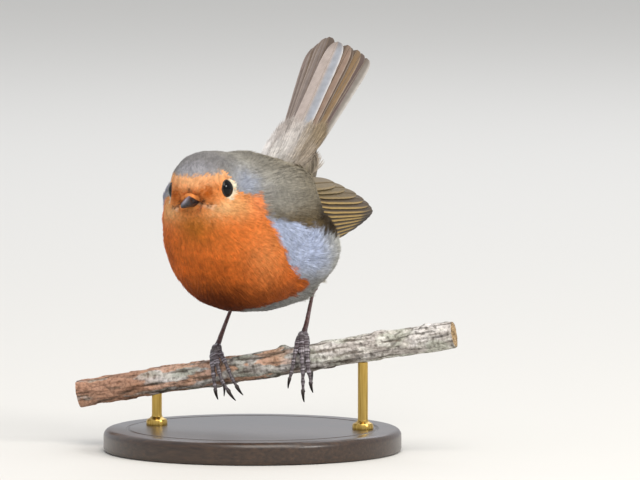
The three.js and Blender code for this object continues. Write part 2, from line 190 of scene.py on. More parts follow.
def eye_axes(side):
    """The eye's own directions: outwards, forwards along the lids, and up."""
    look = EYE_LOOK[side]
    high = unit(HEAD_UP - look * (HEAD_UP @ look))
    return look, np.cross(high, look), high


def lid_opening(turn):
    """Radians from an eye's axis to the edge of its lids, at a turn round the axis from the front.
    The opening is taller than it is wide and ends above in a blunt point."""
    peak = 0.16 * np.exp(-((turn - math.pi / 2 + 0.25) / 0.35) ** 2)
    return math.radians(LID_ANGLE) * (1 + peak - 0.10 * np.cos(2 * turn))


def past_lids(points, side):
    """Degrees outside the edge of an eye's lids, and metres from the middle of the eye."""
    look, forwards, high = eye_axes(side)
    out = points - EYES[side]
    span = np.linalg.norm(out, axis=1)
    turn = np.arctan2(out @ high, out @ forwards)
    angle = np.arccos(np.clip(out @ look / span, -1, 1))
    return np.degrees(angle - lid_opening(turn)), span


print("eyes", round(float(far_from(EYES["left"], EYES["right"])), 1), "mm apart")

# %% [markdown]
# ## Camera, floor and light
# The bird is seen from its front left, a little above its own level, through a long lens, as from
# a hide a few metres off. The floor is a large pale sheet. One broad soft lamp high in front plays
# an overcast sky, a weaker one fills the far side, and a small one on the bird's left puts a point
# of light in the eye. A pale surround keeps the shadows open.

# %% Place the camera
AZIMUTH = 30  # degrees from straight ahead of the bird, round to its left
ELEVATION = 5  # degrees
DISTANCE = 4.0
VIEW_WIDTH = 0.1969  # width of what the camera takes in at the breast
AIM_RIGHT, AIM_DOWN = 25.85, 0.92  # mm, from the breast's middle to the middle of the view
SENSOR = 36.0  # mm


def direction(azimuth, elevation):
    """The way out from the bird at an azimuth and an elevation in degrees."""
    turn, rise = math.radians(azimuth), math.radians(elevation)
    return np.array([
        math.sin(turn) * math.cos(rise), -math.cos(turn) * math.cos(rise), math.sin(rise)
    ])


back = direction(AZIMUTH, ELEVATION)
right = unit(np.cross([0, 0, 1], back))
above = np.cross(back, right)
AIM = BREAST + right * AIM_RIGHT * MM - above * AIM_DOWN * MM

scene = bpy.context.scene
scene.view_settings.view_transform = "Standard"
camera = bpy.data.objects.new("camera", bpy.data.cameras.new("camera"))
scene.collection.objects.link(camera)
scene.camera = camera
camera.data.sensor_width = SENSOR
camera.data.lens = SENSOR * DISTANCE / VIEW_WIDTH
camera.data.clip_start = 0.1
camera.data.clip_end = 100
camera.location = Vector(AIM + back * DISTANCE)
camera.rotation_euler = Vector(-back).to_track_quat("-Z", "Y").to_euler()
print("lens", round(camera.data.lens), "mm at", DISTANCE, "m")

# %% Colours and nodes for every material


def linear(code):
    """An sRGB hex colour as the linear red, green and blue that shaders mix."""
    parts = np.array([int(code[i:i + 2], 16) / 255 for i in (1, 3, 5)])
    return np.where(parts <= 0.04045, parts / 12.92, ((parts + 0.055) / 1.055) ** 2.4)


def rgba(code):
    """An sRGB hex colour as the four numbers of a colour socket."""
    return (*linear(code), 1.0)


def new_material(name, finish):
    """A new node material and its surface shader. The finish sets some of the shader's inputs."""
    material = bpy.data.materials.new(name)
    material.use_nodes = True
    shader = material.node_tree.nodes["Principled BSDF"]
    for socket, value in finish.items():
        shader.inputs[socket].default_value = value
    return material, shader


def add(material, kind, settings=None, links=None):
    """Adds one node. Settings name the node's own choices or its input sockets; links join input
    sockets to other nodes' outputs."""
    made = material.node_tree.nodes.new("ShaderNode" + kind)
    for name, value in (settings or {}).items():
        if isinstance(name, str) and hasattr(made, name):
            setattr(made, name, value)
        else:
            made.inputs[name].default_value = value
    for name, socket in (links or {}).items():
        join(material, socket, made.inputs[name])
    return made


def join(material, socket, target):
    """Links an output to an input."""
    material.node_tree.links.new(target, socket)


def attribute(material, name, output="Color"):
    """What a named attribute holds at each corner."""
    return add(material, "Attribute", {"attribute_name": name}).outputs[output]


def place_on(material):
    """The place on the object, in metres."""
    return add(material, "TexCoord").outputs["Object"]


def grain(material, place, size, detail=2.0):
    """Cloudy noise over a place, with clouds as wide as size in millimetres."""
    settings = {"Scale": 1 / (size * MM), "Detail": detail}
    return add(material, "TexNoise", settings, {"Vector": place}).outputs["Fac"]


def ramp(material, factor, stops):
    """A colour ramp whose stops are pairs of place and sRGB colour."""
    made = add(material, "ValToRGB", links={0: factor})
    elements = made.color_ramp.elements
    while len(elements) < len(stops):
        elements.new(0.5)
    for element, (place, code) in zip(elements, stops):
        element.position = place
        element.color = rgba(code)
    return made.outputs["Color"]


def shaded(material, colour, share, factor, stops):
    """A colour multiplied by a share of a ramp that follows a factor."""
    settings = {"data_type": "RGBA", "blend_type": "MULTIPLY", 0: share}
    return add(material, "Mix", settings, {6: colour, 7: ramp(material, factor, stops)}).outputs[2]


def bumped(material, shader, height, distance, strength):
    """Raises the surface by up to a distance in millimetres."""
    settings = {"Strength": strength, "Distance": distance * MM}
    made = add(material, "Bump", settings, {"Height": height})
    join(material, made.outputs["Normal"], shader.inputs["Normal"])


# %% Lay the floor and hang the lamps
FLOOR_SIZE = 60.0
LAMP_DISTANCE = 1.6
# Each lamp's azimuth and elevation in degrees, width in metres, power in watts, and colour.
LAMPS = {
    "sky_lamp": (45, 58, 1.1, 18, "#fffaf2"),
    "back_lamp": (200, 40, 1.0, 6, "#f2f6ff"),
    "catch_light": (81, 28, 0.32, 7.0, "#fffdf8"),
}


def floor_material():
    """Matt pale board."""
    return new_material("pale_floor", {
        "Base Color": rgba("#d9d7d2"), "Roughness": 0.9, "Specular IOR Level": 0.1,
    })[0]


def lamp(name, azimuth, elevation, size, power, colour):
    """Hangs a square soft lamp that faces the bird."""
    data = bpy.data.lights.new(name, "AREA")
    data.size = size
    data.energy = power
    data.color = linear(colour)
    light = bpy.data.objects.new(name, data)
    scene.collection.objects.link(light)
    away = Vector(direction(azimuth, elevation))
    light.location = Vector(BREAST) + away * LAMP_DISTANCE
    light.rotation_euler = away.to_track_quat("Z", "Y").to_euler()


bpy.ops.mesh.primitive_plane_add(size=FLOOR_SIZE)
floor = bpy.context.object
floor.name = "floor"
floor.data.materials.append(floor_material())
for name, settings in LAMPS.items():
    lamp(name, *settings)
world = bpy.data.worlds.new("surround")
world.use_nodes = True
surround = world.node_tree.nodes["Background"].inputs
surround["Color"].default_value = rgba("#e6e8ec")
surround["Strength"].default_value = 0.85
scene.world = world
print("floor", FLOOR_SIZE, "m, lamps", list(LAMPS))

# %% [markdown]
# ## Helpers for shaping
# Everything is deselected before an operator runs, because operators act on all that is selected.
# A faceted solid becomes a smooth piece by merging its loose triangles and rounding it.

# %% Select, measure and round


def only(thing):
    """Selects one object and makes it active."""
    bpy.ops.object.select_all(action="DESELECT")
    thing.select_set(True)
    bpy.context.view_layer.objects.active = thing
    return thing


def apply_all(thing):
    """Applies every modifier in turn."""
    only(thing)
    for modifier in list(thing.modifiers):
        bpy.ops.object.modifier_apply(modifier=modifier.name)
    return thing


def edited(thing, operator, **settings):
    """Runs one operator on all of an object's mesh."""
    only(thing)
    bpy.ops.object.mode_set(mode="EDIT")
    bpy.ops.mesh.select_all(action="SELECT")
    operator(**settings)
    bpy.ops.object.mode_set(mode="OBJECT")


def made_by(operator, name, **settings):
    """A new object from one of the operators that add a simple shape."""
    bpy.ops.object.select_all(action="DESELECT")
    operator(**settings)
    bpy.context.object.name = name
    return bpy.context.object


def copy_of(nodes, name):
    """A new object that holds copies of some solids, with each solid's loose triangles merged."""
    bpy.ops.object.select_all(action="DESELECT")
    for node in nodes:
        made = bpy.data.objects.new(name, NODES[node].data.copy())
        scene.collection.objects.link(made)
        made.select_set(True)
        if node == nodes[0]:
            bpy.context.view_layer.objects.active = made
    if len(nodes) > 1:
        bpy.ops.object.join()
    made = bpy.context.view_layer.objects.active
    made.name = name
    made.data.materials.clear()
    edited(made, bpy.ops.mesh.remove_doubles, threshold=0.01 * MM)
    return made


def plugged(thing, place, radii, axes):
    """Adds a ball to an object that is about to be fused, to fill a socket or a gap in it."""
    plug = made_by(
        bpy.ops.mesh.primitive_uv_sphere_add, "plug", segments=24, ring_count=16, radius=1
    )
    reshape(plug, place + corners(plug) * radii @ axes * MM)
    thing.select_set(True)
    bpy.context.view_layer.objects.active = thing
    bpy.ops.object.join()


def relaxed(thing, rounds, group=""):
    """Sets an object up to be smoothed, all over or in one group of its corners."""
    soft = thing.modifiers.new("relax", "SMOOTH")
    soft.factor = 0.5
    soft.iterations = rounds
    soft.vertex_group = group


def fused(thing, gap, voxel, rounds):
    """Swells an object so that its gaps close, fuses it into one skin and relaxes that. The gap
    and the size of a voxel are in millimetres."""
    swollen = thing.modifiers.new("close_the_gaps", "DISPLACE")
    swollen.strength = gap * MM
    swollen.mid_level = 0
    whole = thing.modifiers.new("fuse", "REMESH")
    whole.mode = "VOXEL"
    whole.voxel_size = voxel * MM
    relaxed(thing, rounds)
    return apply_all(thing)


def corners(thing):
    """The corners of an object's mesh as rows."""
    flat = np.empty(len(thing.data.vertices) * 3)
    thing.data.vertices.foreach_get("co", flat)
    return flat.reshape(-1, 3)


def normals(thing):
    """The outward direction at each corner."""
    flat = np.empty(len(thing.data.vertices) * 3)
    thing.data.vertex_normals.foreach_get("vector", flat)
    return flat.reshape(-1, 3)


def reshape(thing, places):
    """Moves the corners of an object's mesh."""
    thing.data.vertices.foreach_set("co", np.asarray(places, float).ravel())
    thing.data.update()


def smooth(thing, angle=None):
    """Shades an object smoothly, all over or up to an angle in degrees."""
    only(thing)
    if angle is None:
        bpy.ops.object.shade_smooth()
    else:
        bpy.ops.object.shade_smooth_by_angle(angle=math.radians(angle))
    return thing


def painted(thing, colours):
    """Stores a colour for each corner as its tint."""
    layer = thing.data.attributes.new("tint", "FLOAT_COLOR", "POINT")
    colours = np.hstack([colours, np.ones((len(colours), 1))])
    layer.data.foreach_set("color", colours.astype(np.float32).ravel())


def measured(thing, name, values):
    """Stores a number for each corner, as the named attribute."""
    layer = thing.data.attributes.new(name, "FLOAT", "POINT")
    layer.data.foreach_set("value", np.asarray(values, np.float32))


def finished(thing, material, slot, *stands_for):
    """Gives a piece its material and body, and hides the solids that it stands for. The slot is not used.
    """
    thing.data.materials.clear()
    thing.data.materials.append(material)
    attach(thing, "root")
    if stands_for:
        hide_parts(*stands_for)
    triangles = sum(len(p.vertices) - 2 for p in thing.data.polygons)
    print(f"{thing.name}: {triangles} triangles")
    return thing


def step(low, high, values):
    """A smooth step from 0 at low to 1 at high."""
    share = np.clip((np.asarray(values, float) - low) / (high - low), 0, 1)
    return share * share * (3 - 2 * share)


def layered(colour, *layers):
    """A colour with others laid over it in turn. Each layer is a colour and how much of it each
    place takes. A colour is an sRGB code or rows of linear numbers."""
    made = linear(colour) if isinstance(colour, str) else colour
    for cover, share in layers:
        cover = linear(cover) if isinstance(cover, str) else cover
        share = np.asarray(share)[:, None]
        made = made * (1 - share) + cover * share
    return made


def waves(points, size, seed):
    """Gentle noise between -1 and 1 at each point in millimetres, as wide as size."""
    offset = Vector((seed * 17.3, seed * 5.1, seed * 9.7))
    return np.array([noise.noise(Vector(p) / size + offset) for p in points])


# %% [markdown]
# ## The skin
# Head, neck, trunk, rump, thighs and the small feathers of the wings are one soft body on a live
# bird, so their solids are fused by a voxel remesh and smoothed until no seam shows. The result is
# then drawn in by the depth of the coat, which is thin on the face and deep on the breast.

# %% Fuse the flesh into one skin
FLESH = (
    "head", "neck", "trunk", "rump", "thigh_left", "thigh_right",
    "wing_left_coverts", "wing_right_coverts",
)


def coat_depth(points):
    """How deep the coat is at each point, in millimetres."""
    body = in_body(points)
    depth = 0.25 + 1.45 * step(4, 30, far_from(points, BILL_ROOT)) - 0.5 * step(-16, -22, body[:, 2])
    depth = depth + 1.1 * patch(body, [22, -9, 13], [4, 6, 6])
    return depth - 1.0 * patch(body, [6, 14, -20], [12, 13, 7])


def round_eye(places, side):
    """Brings the skin down on to the ball of an eye at the lids, and under it within them."""
    past, span = past_lids(places, side)
    near = (past < 42) & (span < EYE_RADIUS + 3.4 * MM)
    ball = EYE_RADIUS + 0.10 * MM
    lowered = ball + (span - EYE_RADIUS - 0.10 * MM) * step(0, 40, past) - 0.8 * MM * step(1, -9, past)
    return np.where(near[:, None], EYES[side] + (places - EYES[side]) * (lowered / span)[:, None], places)


skin = copy_of(FLESH, "skin")
plugged(skin, from_head([0, 7.2, -1]), [2.6, 2.2, 2.4], HEAD_AXES)
plugged(skin, from_body(from_tail([0, 6, -0.8])), [8.4, 9.0, 2.8], TAIL_AXES)
for eye in EYES.values():
    plugged(skin, eye, [EYE_RADIUS / MM + 0.7] * 3, HEAD_AXES)
fused(skin, gap=0.25, voxel=0.62, rounds=14)
skin_places = corners(skin)
skin_places -= normals(skin) * (coat_depth(skin_places) * MM)[:, None]
for side in SIDES:
    skin_places = round_eye(skin_places, side)
reshape(skin, skin_places)
smooth(skin)
edited(skin, bpy.ops.uv.smart_project, angle_limit=math.radians(66), island_margin=0.004)
skin.data.uv_layers.active.name = "OFBake"
print("skin corners:", len(skin_places))

# %% [markdown]
# ## Markings
# The colours follow the bird's own landmarks. The orange of the bib covers the face up to a level
# line above the bill, rises to a point over each eye, and ends behind the cheek and down the side
# of the breast along a curve. Blue grey borders it, then olive brown takes over. The belly is pale.

# %% Describe where each colour lies
# The bib's rear edge on the body: how far back it reaches at each height.
BIB_EDGE = [
    (-24, 2), (-20, 8), (-17, 11.5), (-14.2, 11), (-11, 5), (-7.3, -1.5),
    (-4.3, -4.4), (-0.9, -6.9), (2.7, -8.9), (8, -12.3), (16, -12),
]
# Its upper edge on the head: how high it reaches at each place from the nape to the bill.
BROW_EDGE = [
    (-12, -4.8), (-7, -4.4), (-4, -3.7), (-1.9, -2.2), (-1.3, 4.6), (-0.7, 5.6), (2, 5.2), (6, 6.1),
]


def past_edge(points):
    """Millimetres outside the bib: negative inside it."""
    body = in_body(points)
    head = in_head(points)
    edge = np.interp(body[:, 2], *zip(*BIB_EDGE))
    belly = -2.2 + 0.16 * np.maximum(np.abs(body[:, 0]) - 5, 0) ** 2
    belly = np.where(body[:, 2] < -15, belly, 99)
    behind = body[:, 1] - np.minimum(edge, belly)
    over = head[:, 2] - np.interp(head[:, 1], *zip(*BROW_EDGE))
    over = np.where(body[:, 2] > 4, over, -99)
    return np.maximum(behind, over)


# Soft patches on the face: colour, share, and middle and radii in the head's frame.
FACE_PATCHES = (
    ("#ffce94", 0.85, [8.0, 5.0, -4.6], [6.0, 5.0, 2.2]),  # pale below the gape
    ("#f4b473", 0.8, [11.5, 0.5, -6.0], [4.5, 5.5, 3.5]),  # cheek
    ("#b06d12", 0.95, [0, 6.5, -8.5], [4.6, 5, 4.6]),  # chin
    ("#a84c02", 0.97, [4.6, 8.0, 1.0], [2.6, 3, 2.6]),  # lore, between bill and eye
    ("#ff9c62", 0.9, [15.5, -6.5, -6.5], [3.5, 4.5, 4.5]),  # side of the neck
)


def bib_colour(body, head):
    """Orange: deep and brown below, partly as painted shade, pale on the face, with the dark lore before
    the eye.
    """
    # Low on the breast the orange is painted darker: partly its own deeper colour, partly painted shade
    # from below. The bird's left, which faces the lamps, gets less of it. The bird's right side is made a
    # deeper orange, also partly painted shade.
    low_breast_tone_and_shade = step(-8, -18, body[:, 2]) * (0.95 - 0.35 * step(2, 14, body[:, 0]))
    orange = layered(
        "#ec8338",
        ("#df742b", step(4, -10, body[:, 2])),
        ("#5c270c", low_breast_tone_and_shade),
        ("#bd5412", step(-2, -14, body[:, 0]) * 0.5),
        ("#f59e5a", 0.7 * patch(body, [17, -11, -4], [5, 8, 9])),
        ("#f69f58", step(-13, -4, head[:, 2]) * 0.85),
        ("#fbc08a", step(1, 5, head[:, 2]) * 0.85),
        *((code, share * patch(head, *place)) for code, share, *place in FACE_PATCHES),
    )
    # The lore ends below in a dark line from the gape to the eye's front, with a pale one under it.
    out = np.abs(head[:, 0])
    gape_line = head[:, 2] + 1.6 + 0.42 * (out - 3)
    in_front = step(2.6, 3.4, out) * step(7.6, 6.2, out) * (head[:, 1] > 2)
    return layered(
        orange,
        ("#5a3420", 0.85 * in_front * np.exp(-((gape_line - 0.3) / 0.35) ** 2)),
        ("#ffe3c4", 0.5 * in_front * np.exp(-((gape_line + 0.45) / 0.4) ** 2)),
        ("#4a3a34", 0.8 * patch(head, [0, 9.6, 2.6], [0.7, 2, 0.7])),
    )


def tail_root_colour(across, along):
    """Whitish coverts, browner on the left, over grey brown webs."""
    webs = layered("#9c8d84", ("#cfc6c0", step(-5, -1, across)), ("#97825f", step(1, 4, across)))
    return layered(
        "#fbf8f6",
        ("#e4dfda", step(-8, -3, across)),
        ("#b3a596", step(-2, 7, across)),
        (webs, 0.7 * step(12, 22, along)),
    )


def upper_colour(body, head, outside):
    """Olive brown above, with a grey crown, a blue grey border behind the cheek, and a dark wing rear
    that is partly painted shade.
    """
    crown = step(-14, -3, head[:, 1]) * step(2, 8, head[:, 2])
    crown_grey = layered("#8a8786", ("#a9a8ae", step(-2, 5, head[:, 1])))
    hind_crown = step(-5, -10, head[:, 1]) * step(5, 8, head[:, 2]) * step(-20, -14, head[:, 1])
    ear = patch(head, [14.5, -5.0, 0.5], [5.0, 5.5, 5.0])
    far_cheek = step(-14, -17, head[:, 0]) * step(-4, 0, outside)
    # The rear of the folded wing is painted dark brown: its own browner feathers, deepened by painted
    # shade.
    wing_rear_brown_and_shade = step(8, 18, body[:, 1]) * step(13, 8, body[:, 2]) * step(-4, -1, body[:, 2])
    across, along, _ = in_tail(body).T
    on_tail = step(3, 17, along) * step(10, 16, body[:, 2])
    return layered(
        "#9f9b91",
        ("#857b67", step(-12, 16, body[:, 1])),
        ("#655334", step(13, 4, body[:, 2]) * 0.9),
        (crown_grey, crown),
        ("#837f78", 0.8 * hind_crown),
        ("#6a665d", 0.8 * patch(body, [4, -1, 25], [6, 5, 4])),
        ("#a3a8b5", np.clip(ear * 1.3, 0, 1) * step(-0.5, 1, outside)),
        ("#9c9fc0", 0.6 * far_cheek),
        ("#352815", 0.95 * wing_rear_brown_and_shade),
        (tail_root_colour(across, along), 0.95 * on_tail),
    )


def flank_colour(body):
    """Blue grey beside the breast, turning to a dull pale buff towards the rear, and darker low down as
    painted shade.
    """
    return layered(
        "#b9c3dc",
        ("#b2b1ab", step(8, 24, body[:, 1])),
        # Painted shade: the lower flank is darkened, as under the body.
        ("#98958c", step(-6, -15, body[:, 2]) * 0.85),
        ("#c0b5a0", step(24, 32, body[:, 1]) * 0.6),
    )


def eye_ring(points, head):
    """How much of each point is in the pale ring below and behind the eye."""
    angle, span = eye_angle(points)
    ring = step(60, 52, angle) * step(5.4, 4.6, span) * step(3, -1.5, head[:, 2] - 3.0)
    return ring * step(-0.4, 0.4, -head[:, 1] + 1.2 - 0.4 * head[:, 2])


def markings(points):
    """The plumage colour at each point, before any unevenness."""
    body = in_body(points)
    head = in_head(points)
    outside = past_edge(points)
    return layered(
        upper_colour(body, head, outside),
        (flank_colour(body), step(0.8, -0.8, body[:, 2] - 4.9 + 0.25 * body[:, 1])),
        (bib_colour(body, head), 1 - step(-0.6, 0.6, outside)),
        ("#fff0d2", eye_ring(points, head)),
    )


print("bib covers", round(float((past_edge(corners(skin)) < 0).mean() * 100)), "% of the skin")

# %% [markdown]
# ## Plumage material
# Feather barbs are matt keratin with a faint sheen. Colour comes from the markings, stored on each
# corner as a tint, and a fine mottle breaks it up as loose barbs do.

# %% Make the plumage material
BARB_MOTTLE = 1.5  # mm, width of the mottle's largest clouds
SKIN_SHADE = 0.88  # the skin is a little darker than the feathers over it


def plumage_material():
    """Soft contour feathers, coloured by their tint."""
    material, shader = new_material("feather_down_and_contour", {
        "Roughness": 0.72, "Specular IOR Level": 0.14, "Sheen Weight": 0.03, "Sheen Roughness": 0.5,
    })
    mottle = grain(material, place_on(material), BARB_MOTTLE, 3.0)
    stops = [(0.3, "#d6d6d6"), (0.65, "#ffffff")]
    colour = shaded(material, attribute(material, "tint"), 0.8, mottle, stops)
    join(material, colour, shader.inputs["Base Color"])
    return material


plumage = plumage_material()
painted(skin, markings(corners(skin)) * SKIN_SHADE)
finished(skin, plumage, "plumage", *FLESH)

# %% [markdown]
# ## The coat
# Each small feather is a fan of barbs that leave a short shaft and end along a rounded edge. It
# lies the way the bird preens it: away from the bill, over the body, towards the tail. Roots are
# spread evenly, close together on the face and wider on the breast, and every feather follows the
# curve of the skin below it.

# %% Spread the feather roots
SURFACE = BVHTree.FromPolygons(
    [tuple(c) for c in corners(skin)], [tuple(p.vertices) for p in skin.data.polygons]
)


def feather_length(points):
    """Length of the feathers in millimetres: short by the bill and the eyes, long on the body."""
    length = np.clip(1.1 + 0.15 * far_from(points, BILL_ROOT), 1.2, 6.6)
    for eye in EYES.values():
        length = np.minimum(length, 0.9 + 0.55 * np.maximum(far_from(points, eye) - 3.4, 0))
    body = in_body(points)
    at_tail = in_tail(body)
    over_tail = step(-2, 10, at_tail[:, 1]) * (body[:, 2] > 8) * step(-2.5, -0.5, at_tail[:, 2])
    length = length + 4.5 * over_tail
    below = step(-15, -21, body[:, 2]) * step(10, 0, body[:, 1])
    at_vent = step(20, 30, body[:, 1]) * step(0, -6, body[:, 2])
    front_of_wing = patch(body, [19, -8, 12], [5, 6, 9])
    return length * (1 - 0.45 * below) * (1 - 0.45 * front_of_wing) * (1 - 0.2 * at_vent)


TRIES = 3.2  # places tried for each that an even spread would hold


def scattered(thing, spacing_of, seed):
    """Random places on a mesh, each at least its own spacing from the others. Returns the places,
    their normals and their places on the unwrap."""
    chance = np.random.default_rng(seed)
    mesh = thing.data
    mesh.calc_loop_triangles()
    count = len(mesh.loop_triangles)
    loops = np.empty(count * 3, int)
    mesh.loop_triangles.foreach_get("loops", loops)
    verts = np.empty(count * 3, int)
    mesh.loop_triangles.foreach_get("vertices", verts)
    places = corners(thing)[verts.reshape(-1, 3)]
    outward = normals(thing)[verts.reshape(-1, 3)]
    flat = np.empty(len(mesh.loops) * 2)
    mesh.uv_layers["OFBake"].data.foreach_get("uv", flat)
    unwrap = flat.reshape(-1, 2)[loops.reshape(-1, 3)]
    area = np.linalg.norm(
        np.cross(places[:, 1] - places[:, 0], places[:, 2] - places[:, 0]), axis=1
    ) / 2
    spacing = spacing_of(places.mean(1)) * MM
    weight = area / spacing ** 2
    tries = int(weight.sum() * TRIES)
    pick = chance.choice(count, tries, p=weight / weight.sum())
    share = chance.random((tries, 2))
    # Shares of two edges that lead past the triangle are folded back into it.
    fold = share.sum(1) > 1
    share[fold] = 1 - share[fold]
    share = np.column_stack([1 - share.sum(1), share])
    at = (places[pick] * share[:, :, None]).sum(1)
    gap = spacing[pick]
    # Kept places are filed by cell, so that only the cells around a new one are searched.
    cell = float(spacing.max())
    taken = {}
    kept = []
    for index, (place, room) in enumerate(zip(at, gap)):
        key = tuple((place // cell).astype(int))
        near = [
            other
            for dx in (-1, 0, 1) for dy in (-1, 0, 1) for dz in (-1, 0, 1)
            for other in taken.get((key[0] + dx, key[1] + dy, key[2] + dz), ())
        ]
        limit = room * room
        x, y, z = place
        if all((x - a) ** 2 + (y - b) ** 2 + (z - c) ** 2 > limit for a, b, c in near):
            taken.setdefault(key, []).append((x, y, z))
            kept.append(index)
    outward = unit((outward[pick] * share[:, :, None]).sum(1))
    unwrap = (unwrap[pick] * share[:, :, None]).sum(1)
    return at[kept], outward[kept], unwrap[kept]


def feather_spacing(points):
    """Distance between feather roots in millimetres."""
    return 0.12 + 0.14 * np.minimum(feather_length(points), 6)


roots, root_normals, root_unwrap = scattered(skin, feather_spacing, seed=3)
# None grow on the end that the tail comes out of, nor between the lids.
kept = ~((in_tail(in_body(roots))[:, 1] > 8) & (root_normals @ TAIL_AXES[1] > 0.2))
for side in SIDES:
    past, span = past_lids(roots, side)
    kept &= ~((past < 3.5) & (span < EYE_RADIUS + 1.7 * MM))
roots, root_normals, root_unwrap = roots[kept], root_normals[kept], root_unwrap[kept]
body_roots = in_body(roots)
from_bill = far_from(roots, BILL_ROOT)
print("small feathers:", len(roots))

# %% Name the part of the body under each root


def tree_of(node):
    """A solid's faces, ready to be searched."""
    return BVHTree.FromPolygons(
        [tuple(v.co) for v in NODES[node].data.vertices],
        [tuple(p.vertices) for p in NODES[node].data.polygons],
    )


def nearest_part(points, names):
    """The name of the solid that each point lies in or nearest to, and how much further off the
    next one is, in millimetres."""
    trees = [tree_of(name) for name in names]
    far = np.array([[tree.find_nearest(Vector(p))[3] for tree in trees] for p in points])
    ranked = np.sort(far, axis=1)
    return np.array(names)[far.argmin(1)], (ranked[:, 1] - ranked[:, 0]) / MM


# A root lies deep in the coat, so the part is looked up at the outline above it.
above_roots = roots + root_normals * (coat_depth(roots) * MM)[:, None]
root_parts, _ = nearest_part(above_roots, FLESH)
on_wing = np.char.startswith(root_parts, "wing")
on_thigh = np.char.startswith(root_parts, "thigh")
print({str(name): int((root_parts == name).sum()) for name in np.unique(root_parts)})

# %% Comb the feathers
ALONG_WING = np.array([-0.10, 1.0, -0.16])  # on the left wing
DOWN_THIGH = unit([0, 0.5, -0.6])


def combed(points, outward):
    """The way each feather lies, along the skin from bill to tail."""
    body = in_body(points)
    way = unit(points - BILL_ROOT)
    rear = step(0, 28, body[:, 1])[:, None]
    way = unit(way * (1 - 0.75 * rear) + np.array([0, 1.0, 0.1]) * 0.75 * rear)
    mirror = np.column_stack([np.sign(body[:, 0]), np.ones((len(body), 2))])
    way = np.where(on_wing[:, None], unit(ALONG_WING * mirror), way)
    way = np.where(on_thigh[:, None], DOWN_THIGH, way)
    at_tail = in_tail(body)
    along_tail = unit(np.column_stack([
        -0.02 * at_tail[:, 0], np.ones(len(body)), np.zeros(len(body))
    ]) @ TAIL_AXES)
    on_tail = (root_parts == "rump") | ((at_tail[:, 1] > -1) & (body[:, 2] > 8))
    way = np.where(on_tail[:, None], along_tail, way)
    # Under the wing's lower edge the flank's feathers rise over it.
    over_wing = step(-7, -1, body[:, 2]) * step(5, 1, body[:, 2]) * step(0, 6, body[:, 1]) * ~on_wing
    way = way + np.array([0, 0, 0.9]) * over_wing[:, None]
    sway = np.column_stack([waves(body, 9.0, seed) for seed in (1, 2, 3)])
    way = way + 0.35 * sway * step(8, 20, from_bill)[:, None]
    for side, eye in EYES.items():
        # Round the eye they turn aside, so that none points into it.
        look = EYE_LOOK[side]
        out = points - eye
        out = unit(out - np.outer(out @ look, look))
        inward = np.minimum((way * out).sum(1) - 0.25, 0) * step(8.5, 5.0, far_from(points, eye))
        way = way - out * inward[:, None]
    return unit(way - outward * (way * outward).sum(1, keepdims=True))


root_ways = combed(roots, root_normals)

# %% [markdown]
# A fan of barbs is worked out once for all feathers of a size, as arrays. Each barb is a narrow
# strip with a root, a bend and a tip, so it costs three triangles.

# %% Grow the feathers
TUFT_PATCH = 0.003  # width of a feather's own patch on the bake map


